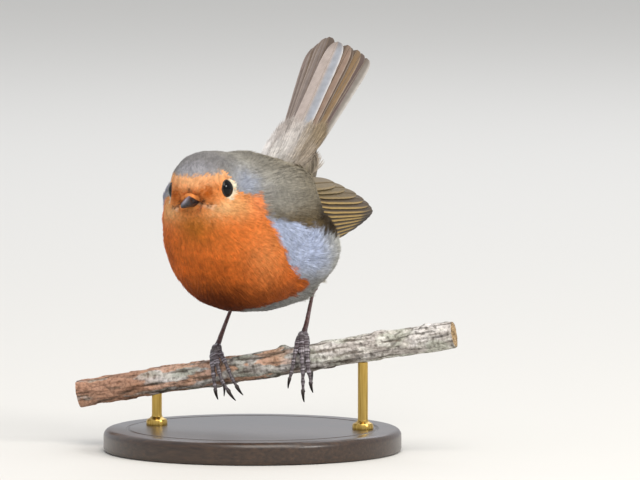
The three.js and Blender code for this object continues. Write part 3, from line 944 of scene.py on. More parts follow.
def fans(places, outward, ways, lengths, lifts, colours, unwrap, barbs, width, seed, follow=1.0):
    """Corners, faces, tints and bake places of many small feathers with the same number of barbs.
    Lengths are in millimetres, lifts say how far the feathers stand off, width is a share of the
    length, and follow says how closely they bend to the skin."""
    chance = np.random.default_rng(seed)
    count = len(places)
    shape = (count, barbs)
    size = (lengths * MM)[:, None]
    # Each barb leaves the shaft somewhere along it and ends on the feather's rounded edge.
    across = np.cross(ways, outward)
    lean = np.linspace(-1, 1, barbs)[None] + chance.normal(0, 0.5 / barbs, shape)
    reach = 1 - 0.32 * lean ** 2 + chance.normal(0, 0.07, shape)
    start_y = size * (0.42 * (1 - np.abs(lean)) * chance.random(shape))
    tip_x = lean * size * width / 2 * (1 + chance.normal(0, 0.08, shape))
    tip_y = size * reach
    bend_x = tip_x * 0.62
    bend_y = start_y + (tip_y - start_y) * 0.52
    # The skin falls away under a flat feather: its fall at the tip bends the feather along it.
    ends = places + ways * size
    fall = np.array([
        (Vector(e) - SURFACE.find_nearest(Vector(e))[0]).dot(Vector(n))
        for e, n in zip(ends, outward)
    ])
    fall = np.clip(fall[:, None], -0.5 * size, 0.55 * size) * follow
    ragged = chance.normal(0, 0.035, shape) * np.minimum(size, 3.5 * MM)

    def height(x, y):
        share = y / size
        rise = lifts[:, None] * size * (share - 0.42 * share ** 2)
        return rise - fall * share ** 2 - np.abs(x) * 0.22 + ragged * share

    def spot(x, y):
        return (
            places[:, None] + across[:, None] * x[..., None] + ways[:, None] * y[..., None]
            + outward[:, None] * height(x, y)[..., None]
        )

    root, bend, tip = spot(tip_x * 0.03, start_y), spot(bend_x, bend_y), spot(tip_x, tip_y)
    # A barb is a strip that rolls a little about its own length and thins out to its tip.
    along = unit(tip - root)
    roll = outward[:, None] + across[:, None] * chance.normal(0, 0.35, shape)[..., None]
    wide = unit(np.cross(along, roll))
    girth = np.minimum(0.026 + 0.0095 * lengths, 0.085)[:, None, None] * MM
    girth = girth * (1 + chance.normal(0, 0.15, shape)[..., None])
    strips = np.stack([
        root - wide * girth, root + wide * girth,
        bend - wide * girth, bend + wide * girth, tip,
    ], axis=2)
    first = np.arange(count * barbs)[:, None] * 5
    quads = first + np.array([0, 1, 3, 2])
    points = first + np.array([2, 3, 4])
    # Feathers and barbs differ in tone, and every barb is darker at its root.
    tone = 1 + chance.normal(0, 0.06, (count, 1, 1)) + chance.normal(0, 0.07, shape)[..., None]
    tone = tone[..., None, :] * np.array([0.83, 0.83, 0.97, 0.97, 1.04])[None, None, :, None]
    tints = np.clip(colours[:, None, None, :] * tone, 0, 1)
    local = np.stack([
        lean[..., None] * np.array([0, 0, 0.3, 0.3, 0.5]),
        np.stack([start_y, start_y, bend_y, bend_y, tip_y], axis=-1) / size[..., None] - 0.5,
    ], axis=-1)
    local[..., 1::2, 0] += 0.03
    bake = unwrap[:, None, None, :] + local * TUFT_PATCH
    return strips.reshape(-1, 3), quads, points, tints.reshape(-1, 3), bake.reshape(-1, 2)


def mesh_object(name, places, quads, triangles=np.empty((0, 3), int)):
    """A mesh made from arrays of corners, four-sided faces and perhaps three-sided ones."""
    mesh = bpy.data.meshes.new(name)
    loops = np.concatenate([quads.ravel(), triangles.ravel()])
    sizes = np.concatenate([np.full(len(quads), 4), np.full(len(triangles), 3)])
    mesh.vertices.add(len(places))
    mesh.vertices.foreach_set("co", places.astype(np.float32).ravel())
    mesh.loops.add(len(loops))
    mesh.loops.foreach_set("vertex_index", loops.astype(np.int32))
    mesh.polygons.add(len(sizes))
    starts = np.concatenate([[0], np.cumsum(sizes)[:-1]])
    mesh.polygons.foreach_set("loop_start", starts.astype(np.int32))
    mesh.update(calc_edges=True)
    mesh.validate()
    made = bpy.data.objects.new(name, mesh)
    scene.collection.objects.link(made)
    return made


def unwrapped(thing, places):
    """Gives every corner its place on the map that colours are baked through."""
    layer = thing.data.uv_layers.new(name="OFBake")
    index = np.empty(len(thing.data.loops), int)
    thing.data.loops.foreach_get("vertex_index", index)
    layer.data.foreach_set("uv", places[index].astype(np.float32).ravel())


def coat_piece(name, *feathers, **shape):
    """One piece of the coat. It takes what fans takes."""
    places, quads, triangles, tints, bake = fans(*feathers, **shape)
    coat = mesh_object(name, places, quads, triangles)
    painted(coat, tints)
    unwrapped(coat, bake)
    return finished(smooth(coat), plumage, "plumage")


# A feather takes the colour of the place a little past its middle, made lighter or darker in
# soft clumps and streaks. Clumps also stand the feathers off, so their lighter tone is partly a painted
# highlight on raised tufts and their darker tone partly painted shade between them.
lengths = feather_length(roots) * np.where(on_thigh, 0.65, 1)
ragged_edge = np.random.default_rng(5).normal(0, 0.35, roots.shape) * MM
colours = markings(roots + root_ways * (lengths * 0.6 * MM)[:, None] + ragged_edge)
clumps = waves(body_roots, 4.2, 6)
streaks = waves(body_roots * [1, 1, 0.6], 1.6, 8)
uneven = 0.35 + 0.65 * step(8, 20, from_bill)
colours = np.clip(colours * (1 + uneven * (0.22 * clumps + 0.13 * streaks))[:, None], 0, 1)

# Feathers lie flat on wing, thigh, underside and tail, and stand off more elsewhere.
across, along, up = body_roots.T
lifts = (0.26 + 0.02 * lengths) * (1 + 0.5 * clumps)
lifts = np.where(on_wing, 0.15, lifts)
lifts = lifts * (1 - 0.65 * step(-12, -20, up) * step(12, 2, along))
lifts = lifts * (1 - 0.35 * step(6, 0, along) * (up < 6))
lifts = np.where(on_thigh, 0.12, lifts)
lifts = lifts * (1 - 0.8 * step(-4, 2, in_tail(body_roots)[:, 1]) * (up > 8))

on_head, on_trunk = root_parts == "head", root_parts == "trunk"
halves = {"left": across >= 0, "right": across < 0}
face = on_head & (lengths < 3.2)
breast = on_trunk & (along < 4) & (up < 12)
flank = on_trunk & (along >= 4) & (up < 12)
groups = {f"coat_face_{side}": face & half for side, half in halves.items()}
groups["coat_crown_and_cheeks"] = on_head & (lengths >= 3.2)
groups["coat_neck"] = root_parts == "neck"
groups |= {f"coat_breast_{side}": breast & half for side, half in halves.items()}
groups["coat_back"] = on_trunk & (up >= 12)
groups |= {f"coat_flank_{side}": flank & half for side, half in halves.items()}
groups["coat_rump"] = root_parts == "rump"
groups |= {f"coat_thigh_{side}": root_parts == f"thigh_{side}" for side in SIDES}
groups |= {f"coat_wing_{side}": root_parts == f"wing_{side}_coverts" for side in SIDES}
for seed, (name, chosen) in enumerate(groups.items()):
    typical = float(np.median(lengths[chosen]))
    coat_piece(
        name, roots[chosen], root_normals[chosen], root_ways[chosen], lengths[chosen],
        lifts[chosen], colours[chosen], root_unwrap[chosen], barbs=int(round(15 + 3.8 * typical)),
        width=0.62 if typical < 7 else 0.45, seed=seed,
    )

# %% [markdown]
# Two places need feathers that the skin alone doesn't carry. Tiny ones start at the edge of the
# horn and hide where it leaves the face, and long loose ones lie flat over the root of the tail
# and run into it.

# %% Cover the roots of the bill and the tail


def dressed(name, places, outward, ways, lengths, lifts, **shape):
    """A piece of coat from feathers that lie off the skin. Each takes its place on the bake map
    from the nearest root on the skin."""
    outward = unit(outward - ways * (outward * ways).sum(1, keepdims=True))
    beside = [far_from(roots, place).argmin() for place in places]
    tints = markings(places + ways * (lengths * 0.6 * MM)[:, None])
    mottle = 1 + 0.2 * waves(in_body(places), 2.5, shape["seed"])
    tints = np.clip(tints * mottle[:, None], 0, 1)
    coat_piece(
        name, places, outward, ways, lengths, lifts, tints, root_unwrap[beside], follow=0.0, **shape
    )


def dress_bill(rows=4, in_row=170):
    """Tiny feathers that leave the edge of the horn and lie back over the face."""
    chance = np.random.default_rng(33)
    horn_root = in_head(np.vstack([corners_of("bill_upper"), corners_of("bill_lower")]))
    horn_root = horn_root[horn_root[:, 1] < 11]
    low, high = horn_root[:, 2].min(), horn_root[:, 2].max()
    middle = np.array([0, 0, (low + high) / 2])
    wide, tall = horn_root[:, 0].max(), (high - low) / 2
    turn = np.tile(np.linspace(0, math.tau, in_row, endpoint=False), rows)
    turn = turn + chance.normal(0, 0.03, len(turn))
    rim = np.column_stack([np.cos(turn), np.zeros_like(turn), np.sin(turn)])
    # They reach furthest forward over the nostrils and least at the corners of the mouth.
    forward = 10.5 + 0.25 * np.sin(turn) - 1.5 * np.cos(turn) ** 8 + chance.uniform(-0.7, 0.4, len(turn))
    aim = from_head(middle + rim * [wide, 0, tall] + np.outer(forward, [0, 1, 0]))
    halves = [tree_of("bill_upper"), tree_of("bill_lower")]
    start = []
    for place in aim:
        hits = [half.find_nearest(Vector(place)) for half in halves]
        spot, facing, _, _ = min(hits, key=lambda hit: hit[3])
        start.append(spot - facing * 0.05 * MM)
    start = as_array(start)
    beyond = chance.uniform(0.7, 1.5, len(turn)) * (1 - 0.4 * np.sin(turn))
    face = from_head(middle + rim * np.column_stack([wide + beyond, beyond, tall + beyond]) + [0, 9, 0])
    goal = as_array(SURFACE.find_nearest(Vector(place))[0] for place in face)
    dressed(
        "coat_bill_root", start, rim @ HEAD_AXES + HEAD_FORWARD, unit(goal - start),
        far_from(goal, start), 0.18 + 0.12 * np.sin(turn), barbs=13, width=0.7, seed=61,
    )


def dress_tail(count=150):
    """Long loose feathers over the root of the tail."""
    chance = np.random.default_rng(35)
    across = chance.uniform(-8.2, 8.2, count)
    along = chance.uniform(4.5, 14.5, count)
    reach = 20.0  # how far above the tail the search for the skin begins
    start = []
    for x, y in zip(across, along):
        above = from_body(from_tail([x, y, reach]))
        hit, _, _, far = SURFACE.ray_cast(Vector(above), Vector(-TAIL_AXES[2]))
        height = reach - far / MM if hit and far < 18 * MM else 2.0
        start.append([x, y, min(height, 6.0) + 0.1])
    start = np.array(start)
    goal = np.column_stack([
        start[:, 0] - 0.4, start[:, 1] + 11 + 3 * chance.random(count),
        2.4 - 0.12 * np.abs(start[:, 0]),
    ])
    dressed(
        "coat_tail_root", from_body(from_tail(start)), np.tile(TAIL_AXES[2], (count, 1)),
        unit(goal - start) @ TAIL_AXES, np.linalg.norm(goal - start, axis=1),
        np.full(count, 0.02), barbs=54, width=0.42, seed=62,
    )


dress_bill()
dress_tail()

# %% [markdown]
# ## Long feathers
# The feathers of wing and tail are stiff blades: a shaft with a web on each side, whose barbs hook
# together so closely that only fine slanting lines show. One blade is laid out as a grid, with a
# camber across and a bow along, and copies of it are placed like a hand of cards.

# %% Shape one blade
VANE_THICKNESS = 0.14  # mm
ACROSS_STEPS = 13
ALONG_STEPS = 34
SHAFT_SIDES = 5


def rod(path, radii):
    """Corners and four-sided faces of a thin bar along a path. Its ends stay open."""
    ways = unit(np.gradient(path, axis=0))
    helper = np.array([0.0, 0.0, 1.0]) if abs(ways[:, 2]).mean() < 0.8 else np.array([1.0, 0, 0])
    across = unit(np.cross(ways, helper))
    high = np.cross(across, ways)
    turn = np.arange(SHAFT_SIDES) * 2 * math.pi / SHAFT_SIDES
    ring = across[:, None] * np.cos(turn)[None, :, None] + high[:, None] * np.sin(turn)[None, :, None]
    places = path[:, None] + ring * radii[:, None, None]
    index = np.arange(len(path) * SHAFT_SIDES).reshape(len(path), SHAFT_SIDES)
    beside = np.roll(index, -1, axis=1)
    quads = np.stack([index[:-1], beside[:-1], beside[1:], index[1:]], axis=-1)
    return places.reshape(-1, 3), quads.reshape(-1, 4)


def blade(root, tip, facing, width, outer, narrow, point, bow, camber, seed):
    """One long feather from root to tip in body millimetres, facing outwards. The outer web, on
    the side that the sign gives, is narrower than the inner one by a share. A high point makes a
    square tip, bow arches the feather along and camber across. Returns the web's corners and
    faces, the shaft's, and for each corner its place across (-1 to 1, outer web positive) and
    along (0 to 1)."""
    chance = np.random.default_rng(seed)
    length = np.linalg.norm(tip - root)
    along = (tip - root) / length
    facing = unit(facing - along * np.dot(facing, along))
    across = np.cross(along, facing) * outer
    lean = np.linspace(-1, 1, ACROSS_STEPS)[None, :]
    # Rows lie closer towards the tip, where the outline curves.
    share = (1 - (1 - np.linspace(0, 1, ALONG_STEPS)) ** 1.35)[:, None]
    half = width / 2 * (0.35 + 0.65 * np.minimum(1, share * 2.4))
    half = half * np.sqrt(np.clip(1 - share ** point, 0.0004, 1))
    rough = 1 + 0.008 * chance.normal(size=(ALONG_STEPS, 2)) * (np.abs(share - 0.5) < 0.48)
    web = np.where(lean > 0, (1 - narrow) * rough[:, 1:], (1 + narrow) * rough[:, :1])
    # Barbs slant towards the tip, so a row's ends lie further along than its middle.
    x = lean * half * web
    y = share * length + np.abs(x) * 0.25 * (1 - share) * (share > 0.02)
    z = bow * length * (share - share ** 2) * 4 * 0.5 - camber * np.abs(x) ** 1.5 / 2
    places = root + x[..., None] * across + y[..., None] * along + z[..., None] * facing
    index = np.arange(ALONG_STEPS * ACROSS_STEPS).reshape(ALONG_STEPS, ACROSS_STEPS)
    quads = np.stack([index[:-1, :-1], index[:-1, 1:], index[1:, 1:], index[1:, :-1]], axis=-1)
    if outer < 0:
        quads = quads[..., ::-1]
    middle = ACROSS_STEPS // 2
    core = places[:, middle] + facing * VANE_THICKNESS * 0.6
    shaft = rod(core[:-1], np.linspace(0.24, 0.07, ALONG_STEPS - 1))
    grid = np.stack(np.broadcast_arrays(lean, share), axis=-1).reshape(-1, 2)
    return places.reshape(-1, 3), quads.reshape(-1, 4), shaft, grid


def bladed(name, blades, tint_of):
    """Joins blades into one piece. tint_of gives the colours of a blade from its number and the
    places across and along. Each blade keeps its own strip of the bake map."""
    places, quads, tints, barbs, bake = [], [], [], [], []
    start = 0
    strip = 1 / len(blades)
    for number, (web, faces, (core, core_faces), grid) in enumerate(blades):
        lean, share = grid.T
        rings = len(core) // SHAFT_SIDES
        core_share = np.repeat(np.linspace(0, 0.97, rings), SHAFT_SIDES)
        core_lean = np.tile(np.linspace(-0.02, 0.02, SHAFT_SIDES), rings)
        core_tint = layered(tint_of(number, core_lean, core_share), ("#8a775a", np.full(len(core), 0.3)))
        rows = web.reshape(ALONG_STEPS, ACROSS_STEPS, 3)
        half = np.linalg.norm(rows - rows[:, ACROSS_STEPS // 2, None], axis=2).ravel()
        length = np.linalg.norm(web[-1] - web[0])
        places += [web, core]
        quads += [faces + start, core_faces + start + len(web)]
        tints += [tint_of(number, lean, share), core_tint]
        barbs += [share * length - half * 0.9, np.zeros(len(core))]
        for a, b in ((lean, share), (core_lean, core_share)):
            bake.append(np.column_stack([(number + 0.05 + 0.45 * (a + 1)) * strip, 0.01 + 0.98 * b]))
        start += len(web) + len(core)
    made = mesh_object(name, from_body(np.vstack(places)), np.vstack(quads))
    painted(made, np.clip(np.vstack(tints), 0, 1))
    measured(made, "barb", np.concatenate(barbs))
    unwrapped(made, np.vstack(bake))
    thick = made.modifiers.new("thickness", "SOLIDIFY")
    thick.thickness = VANE_THICKNESS * MM
    thick.offset = 0
    return smooth(apply_all(made), 50)


BARB_SPACING = 0.55  # mm, about twice the real spacing, so that the lines show


def vane_material():
    """Hooked barbs of a stiff feather: satin keratin with fine slanting lines."""
    material, shader = new_material("stiff_feather_web", {
        "Roughness": 0.5, "Specular IOR Level": 0.45, "Sheen Weight": 0.05,
    })
    barb = attribute(material, "barb", "Fac")
    phase = add(material, "Math", {"operation": "MULTIPLY", 1: 2 * math.pi / BARB_SPACING}, {0: barb})
    wave = add(material, "Math", {"operation": "SINE"}, {0: phase.outputs[0]}).outputs[0]
    lines = add(material, "MapRange", {"From Min": -1.0, "From Max": 1.0}, {"Value": wave}).outputs[0]
    cloud = grain(material, place_on(material), 2.0, 4.0)
    tint = attribute(material, "tint")
    colour = shaded(material, tint, 0.35, cloud, [(0.3, "#b4b0aa"), (0.7, "#ffffff")])
    colour = shaded(material, colour, 0.55, lines, [(0.0, "#dcd8d2"), (0.6, "#ffffff")])
    join(material, colour, shader.inputs["Base Color"])
    bumped(material, shader, lines, 0.02, 0.6)
    return material


vanes = vane_material()

# %% [markdown]
# ## Tail
# Twelve feathers fan from under the rump. One of the middle pair lies on top and shows both webs;
# each feather further out shows only its outer web, with a thin pale edge.

# %% Fan the tail
TAIL_LENGTH = 60.5  # mm
TAIL_FAN = math.radians(8.2)
TAIL_ROOT_SPREAD = 1.7
TAIL_TOP = 6  # the feather that lies on top of all the others
# Each feather's place across the fan, from the bird's right edge (-1) to its left (1), how many
# millimetres it falls short of the longest, and its colour. Some nearly cover one another, so that
# broad webs alternate with narrow ones.
TAIL_WEBS = (
    (-1.0, 4.4, "#86746c"), (-0.96, 3.6, "#74635a"), (-0.82, 2.4, "#88776e"),
    (-0.76, 1.8, "#76655c"), (-0.62, 0.3, "#8d7d74"), (-0.48, 0.0, "#84766f"),
    (-0.04, 2.4, "#bbada6"), (0.32, 3.0, "#917969"), (0.42, 3.6, "#54402f"),
    (0.70, 4.2, "#836846"), (0.90, 5.2, "#5a4742"), (1.16, 6.6, "#807870"),
)


def tail_blades():
    """The tail's blades from the bird's right to its left."""
    blades = []
    top = TAIL_WEBS[TAIL_TOP][0]
    for number, (share, short, _) in enumerate(TAIL_WEBS):
        side = 1 if number >= TAIL_TOP else -1
        length = TAIL_LENGTH - short
        foot = np.array([share * TAIL_ROOT_SPREAD - 0.8, 0, 1.0 - 2.0 * abs(share - top)])
        turn = TAIL_FAN * share
        tip = foot + np.array([length * math.sin(turn), length, 0.4])
        facing = np.array([(share - top) * 0.16, 0, 1.0])
        blades.append(blade(
            from_tail(foot), from_tail(tip), facing @ TAIL_AXES,
            width=6.3 + 0.9 * (number == TAIL_TOP), outer=side,
            narrow=0.1 * (number != TAIL_TOP), point=22.0, bow=0.0, camber=0.10, seed=number,
        ))
    return blades


def tail_tint(number, lean, share):
    """Each web its own grey or brown, darker towards the hidden inner edge as painted shadow of the
    feather over it, and paler at the rim, with a painted highlight along the top feather's rim.
    """
    place, _, colour = TAIL_WEBS[number]
    if number == TAIL_TOP:
        web = layered(
            colour,
            ("#a0a4ad", step(-0.1, 0.4, lean)),
            # Painted highlight: a pale line along the top feather's outer rim.
            ("#ece6e2", step(0.80, 0.92, lean) * 0.7),
        )
    else:
        web = layered(
            colour,
            # Painted shadow: the inner side, under the next feather, is darkened.
            ("#4e3d30", step(0.35, -0.25, lean) * 0.8),
            ("#d8cfc6", step(0.90, 0.97, lean) * 0.25),
        )
    if number == len(TAIL_WEBS) - 1:
        web = layered(web, ("#f0ece6", step(0.6, 0.9, lean) * 0.35))
    pale_root = layered("#e6e2e0", ("#a89680", [step(-0.5, 0.6, place)]))
    return layered(
        web, (pale_root, 0.75 * step(0.5, 0.28, share)), ("#6d5f53", 0.45 * step(0.93, 1.0, share))
    )


tail = bladed("tail_feathers", tail_blades(), tail_tint)
finished(tail, vanes, "flight_feathers", "tail")

# %% [markdown]
# ## Folded wings
# In a folded wing the feathers close like a fan, each under the one above it, so that all that
# shows of each is the edge of its outer web. Those edges are yellowish, with dark web between.

# %% Fold the wings
FLIGHT_FEATHERS = 14
# Curves through the roots and the tips of one wing's feathers, from the innermost down.
FLIGHT_ROOTS = [(14, 9, 15.6), (19.6, 5, 7), (20.4, 2, -4)]
FLIGHT_TIPS = [
    (13, 38, 14.6), (15, 47.8, 10.8), (16.2, 54.3, 7.3), (16.8, 57.0, 5.0),
    (17.2, 56.4, 3.9), (17.8, 53, 2.6), (18.6, 46.5, 0.9), (19.8, 35, -1.2),
]


def along_curve(points, share):
    """A place on a smooth curve through points, by its share of the way."""
    points = np.asarray(points, float)
    count = len(points) - 1
    number = min(int(share * count), count - 1)
    t = share * count - number
    before = points[max(number - 1, 0)]
    first, second = points[number], points[number + 1]
    after = points[min(number + 2, count)]
    slope_a, slope_b = (second - before) / 2, (after - first) / 2
    return (
        (2 * t ** 3 - 3 * t ** 2 + 1) * first + (t ** 3 - 2 * t ** 2 + t) * slope_a
        + (3 * t ** 2 - 2 * t ** 3) * second + (t ** 3 - t ** 2) * slope_b
    )


def wing_blades(sign):
    """The long feathers of one wing, from the innermost down to the outermost."""
    blades = []
    for number in range(FLIGHT_FEATHERS):
        share = number / (FLIGHT_FEATHERS - 1)
        mirror = np.array([sign, 1, 1])
        sink = np.array([-0.2 * number, 0, 0])
        root = (along_curve(FLIGHT_ROOTS, share) + sink) * mirror
        tip = (along_curve(FLIGHT_TIPS, share) + sink) * mirror
        facing = np.array([sign * (0.6 + 0.4 * share), 0, 0.8 * (1 - share)])
        blades.append(blade(
            root, tip, facing, width=6.4 - 2 * share, outer=sign, narrow=0.25 * share, point=5.0,
            bow=0.03, camber=0.06, seed=40 + number,
        ))
    return blades


def flight_tint(number, lean, share):
    """Dark brown webs with a narrow olive yellow outer edge that stops short of a dark tip. The
    innermost feathers are broad and olive brown."""
    place = number / (FLIGHT_FEATHERS - 1)
    tertial = np.ones(len(lean)) * (1 - step(0.10, 0.26, place))
    edge = step(0.72, 0.82, lean) * step(0.985, 0.93, share)
    edge = edge * (1 - step(0.2, 0.5, place) * step(0.76, 0.90, share) * 0.9)
    dark_tip = step(0.74, 0.92, share) * step(0.3, 0.7, place) * (1 - edge)
    return layered(
        linear("#58462e") * (1 - place) + linear("#2c2118") * place,
        ("#6f5e3a", tertial * 0.9),
        ("#a48747", edge * (1 - 0.7 * tertial)),
        ("#241c17", dark_tip * 0.8),
    )


for side, sign in SIDES.items():
    wing = bladed(f"flight_feathers_{side}", wing_blades(sign), flight_tint)
    finished(wing, vanes, "flight_feathers", f"wing_{side}_flight")

# %% [markdown]
# ## Eyes
# A robin's eye is large and almost black: a dark brown iris round a black pupil, under a clear wet
# cornea that catches one bright light. It looks outwards and a little forwards. A dark naked lid
# closes on the ball, and tiny cream feathers ring it.

# %% Make the eyes and lids


def eye_material():
    """A wet cornea over a dark brown iris and a black pupil."""
    material, shader = new_material("wet_cornea_and_iris", {
        "Roughness": 0.05, "IOR": 1.34, "Specular IOR Level": 0.45,
    })
    stops = [(0.0, "#020203"), (0.30, "#020203"), (0.36, "#070504"), (0.6, "#040304")]
    iris = ramp(material, attribute(material, "off_axis", "Fac"), stops)
    join(material, iris, shader.inputs["Base Color"])
    return material


def lid_material():
    """Naked dark skin at the rim of the eye."""
    material, shader = new_material("eyelid_skin", {"Roughness": 0.45})
    cloud = grain(material, place_on(material), 0.3, 2.0)
    colour = ramp(material, cloud, [(0.3, "#0d0a09"), (0.7, "#231a15")])
    join(material, colour, shader.inputs["Base Color"])
    bumped(material, shader, cloud, 0.05, 0.5)
    return material


def make_eyeball(side):
    """A ball that bulges a little in front, where the cornea is."""
    look, forwards, high = eye_axes(side)
    ball = made_by(
        bpy.ops.mesh.primitive_uv_sphere_add, "eyeball_" + side,
        segments=64, ring_count=40, radius=EYE_RADIUS,
    )
    local = corners(ball) / EYE_RADIUS
    bulge = 1 + 0.04 * step(0.6, 1.0, local[:, 2])
    axes = np.array([forwards, high, look])
    reshape(ball, EYES[side] + (local * bulge[:, None] * EYE_RADIUS) @ axes)
    measured(ball, "off_axis", np.arccos(np.clip(local[:, 2], -1, 1)) / (math.pi / 2))
    return smooth(ball)


def make_lids(side):
    """A soft ring that lies on the ball along the edge of the opening."""
    look, forwards, high = eye_axes(side)
    lid = made_by(
        bpy.ops.mesh.primitive_torus_add, "eyelids_" + side,
        major_segments=72, minor_segments=14, major_radius=1.0, minor_radius=0.25,
    )
    local = corners(lid)
    turn = np.arctan2(local[:, 1], local[:, 0])
    opening = lid_opening(turn) + (np.hypot(local[:, 0], local[:, 1]) - 1) * 0.28
    over = EYE_RADIUS + (0.05 + local[:, 2] * 0.6) * MM
    round_axis = forwards * np.cos(turn)[:, None] + high * np.sin(turn)[:, None]
    way = look * np.cos(opening)[:, None] + round_axis * np.sin(opening)[:, None]
    reshape(lid, EYES[side] + over[:, None] * way)
    return smooth(lid)


eye_finish, lid_finish = eye_material(), lid_material()
for side in SIDES:
    finished(make_eyeball(side), eye_finish, "eye", "eye_" + side)
    finished(make_lids(side), lid_finish, "eye")

# %% [markdown]
# ## Bill and claws
# The bill is a thin dark horn sheath with a painted highlight along its ridge, and a nostril near its
# root on each side that is painted near black as shade. Its two halves are smooth copies of their solids.
# The claws are the same horn.

# %% Make the horn parts
NOSTRIL = np.array([1.25, 12.6, 0.15])  # the left one, in the head's frame
BILL_RAISED = 0.22  # mm, of the lower half and of the upper half's ridge
CLAW_GROWTH = 1.3


def horn_material():
    """Keratin horn: dark brown, satin, with fine streaks along it."""
    material, shader = new_material("dark_horn", {"Roughness": 0.32, "IOR": 1.54})
    cloud = grain(material, place_on(material), 0.4, 4.0)
    stops = [(0.3, "#9a9a9a"), (0.7, "#ffffff")]
    colour = shaded(material, attribute(material, "tint"), 0.7, cloud, stops)
    join(material, colour, shader.inputs["Base Color"])
    bumped(material, shader, cloud, 0.03, 0.4)
    return material


def raised(thing, ways, heights):
    """Moves an object's corners along some ways by heights in millimetres."""
    reshape(thing, corners(thing) + ways * (np.asarray(heights) * MM)[..., None])


def rounded(node, name, swell):
    """A smooth copy of a faceted solid. Rounding shrinks it, and swell, in millimetres, makes up
    for that."""
    made = copy_of([node], name)
    soft = made.modifiers.new("round", "SUBSURF")
    soft.levels = soft.render_levels = 3
    apply_all(made)
    raised(made, normals(made), swell)
    return smooth(made)


def make_bill(node):
    """One half of the bill. The upper one has a raised ridge with a painted highlight, and the nostrils,
    painted dark as shade.
    """
    half = rounded(node, node + "_horn", 0.05)
    head = in_head(corners(half))
    tint = layered(
        "#262224",
        ("#151213", step(14, 20, head[:, 1]) * 0.6),
        ("#4f4443", step(12, 9.5, head[:, 1]) * 0.5),
    )
    if node == "bill_lower":
        raised(half, HEAD_UP, BILL_RAISED)
    else:
        ridge = np.exp(-(head[:, 0] / 0.55) ** 2) * step(0, 0.5, head[:, 2]) * step(20, 15, head[:, 1])
        raised(half, HEAD_UP, BILL_RAISED * ridge)
        # Painted highlight: a pale lilac line along the ridge.
        tint = layered(tint, ("#9690a0", ridge * 0.7))
        for sign in SIDES.values():
            near = np.exp(-(((head - NOSTRIL * [sign, 1, 1]) / [0.9, 0.75, 0.35]) ** 2).sum(1))
            raised(half, normals(half), -0.3 * near)
            # Painted shade: each nostril's dent is darkened to near black, as the inside of its opening.
            tint = layered(tint, ("#080606", np.clip(near * 1.4, 0, 1)))
    painted(half, tint)
    return half


def make_claw(node):
    """A claw, enlarged from its tip so that its root runs into the toe."""
    claw = rounded(node, node.replace("claw", "talon"), 0.03)
    places = corners(claw)
    toe_middle = corners_of(node.replace("claw", "toe")).mean(0)
    tip = places[far_from(places, toe_middle).argmax()]
    reshape(claw, tip + (places - tip) * CLAW_GROWTH)
    painted(claw, layered("#1a1515", ("#4a3f3c", step(1, 4, far_from(places, tip)))))
    return claw


horn = horn_material()
for node in ("bill_upper", "bill_lower"):
    finished(make_bill(node), horn, "horn", node)
for node in sorted(NODES):
    if node.startswith("claw_"):
        finished(make_claw(node), horn, "horn", node)

# %% [markdown]
# Stiff bristles stand at each corner of the mouth. They start in the feathers between the bill and
# the eye and curve forwards over the gape.

# %% Set the bristles
BRISTLES = 7  # on each side


def make_bristles():
    """Thin bent rods on both sides of the mouth."""
    chance = np.random.default_rng(21)
    places, quads = [], []
    along = np.linspace(0, 1, 7)[:, None]
    droop = np.array([-0.35, 0.15, -0.25]) * along ** 2
    for sign in SIDES.values():
        for share in np.linspace(0, 1, BRISTLES):
            root = np.array([3.1 + 0.5 * share, 9.6 - 0.5 * share, -1.5 + 1.6 * (share - 0.5)])
            way = unit(np.array([0.5, 0.8 + 0.3 * chance.random(), -0.2 + 0.6 * (share - 0.5)]))
            length = 2.3 + 0.9 * chance.random()
            path = (root + (way * along + droop) * length) * [sign, 1, 1]
            rings, faces = rod(from_head(path), np.linspace(0.045, 0.010, len(path)) * MM)
            quads.append(faces + len(rings) * len(places))
            places.append(rings)
    made = mesh_object("rictal_bristles", np.vstack(places), np.vstack(quads))
    painted(made, np.tile(linear("#241a15"), (len(made.data.vertices), 1)))
    return smooth(made)


finished(make_bristles(), horn, "horn")

# %% [markdown]
# The branch comes before the feet that hold it: its axis tells which side of a toe is its top.

# %% Find the branch's axis
perch_places = corners_of("perch")
perch_middle = (perch_places.min(0) + perch_places.max(0)) / 2
perch_way = unit(np.linalg.svd(perch_places - perch_places.mean(0), full_matrices=False)[2][0])
perch_way = perch_way * np.sign(perch_way[0])
perch_front = unit(np.cross(perch_way, [0, 0, 1]))
perch_high = unit(np.cross(perch_way, perch_front))
perch_high = perch_high * np.sign(perch_high[2])
shares = (perch_places - perch_middle) @ perch_way
PERCH_ENDS = shares.min(), shares.max()
perch_off = perch_places - perch_middle - np.outer(shares, perch_way)
PERCH_RADIUS = float(np.median(np.linalg.norm(perch_off, axis=1)))

# %% [markdown]
# ## Legs and toes
# A perching bird's leg is covered in horny scutes: long plates down the front of the tarsus and
# short overlapping ones on top of each toe, with swollen pads at the joints below. The solids of
# one leg are fused into one skin. A line through the middle of each limb then tells how far along
# it every corner lies, which side is its top, and how thick the limb is there.

# %% Clad the legs
SCUTE = {"tarsus": 2.8, "toe": 1.1}  # mm, length of one scute
KNUCKLE = 3.3  # mm, from one toe joint to the next
# Half the thickness of a limb in mm, at shares of its length.
GIRTH = {
    "tarsus": [(0, 0.50), (0.6, 0.70), (0.85, 0.86), (1, 1.2)],
    "toe": [(0, 0.74), (0.4, 0.60), (1, 0.47)],
}
SHIN = unit(np.array([0.25, -1.0, 0.2]))  # the front of the tarsus


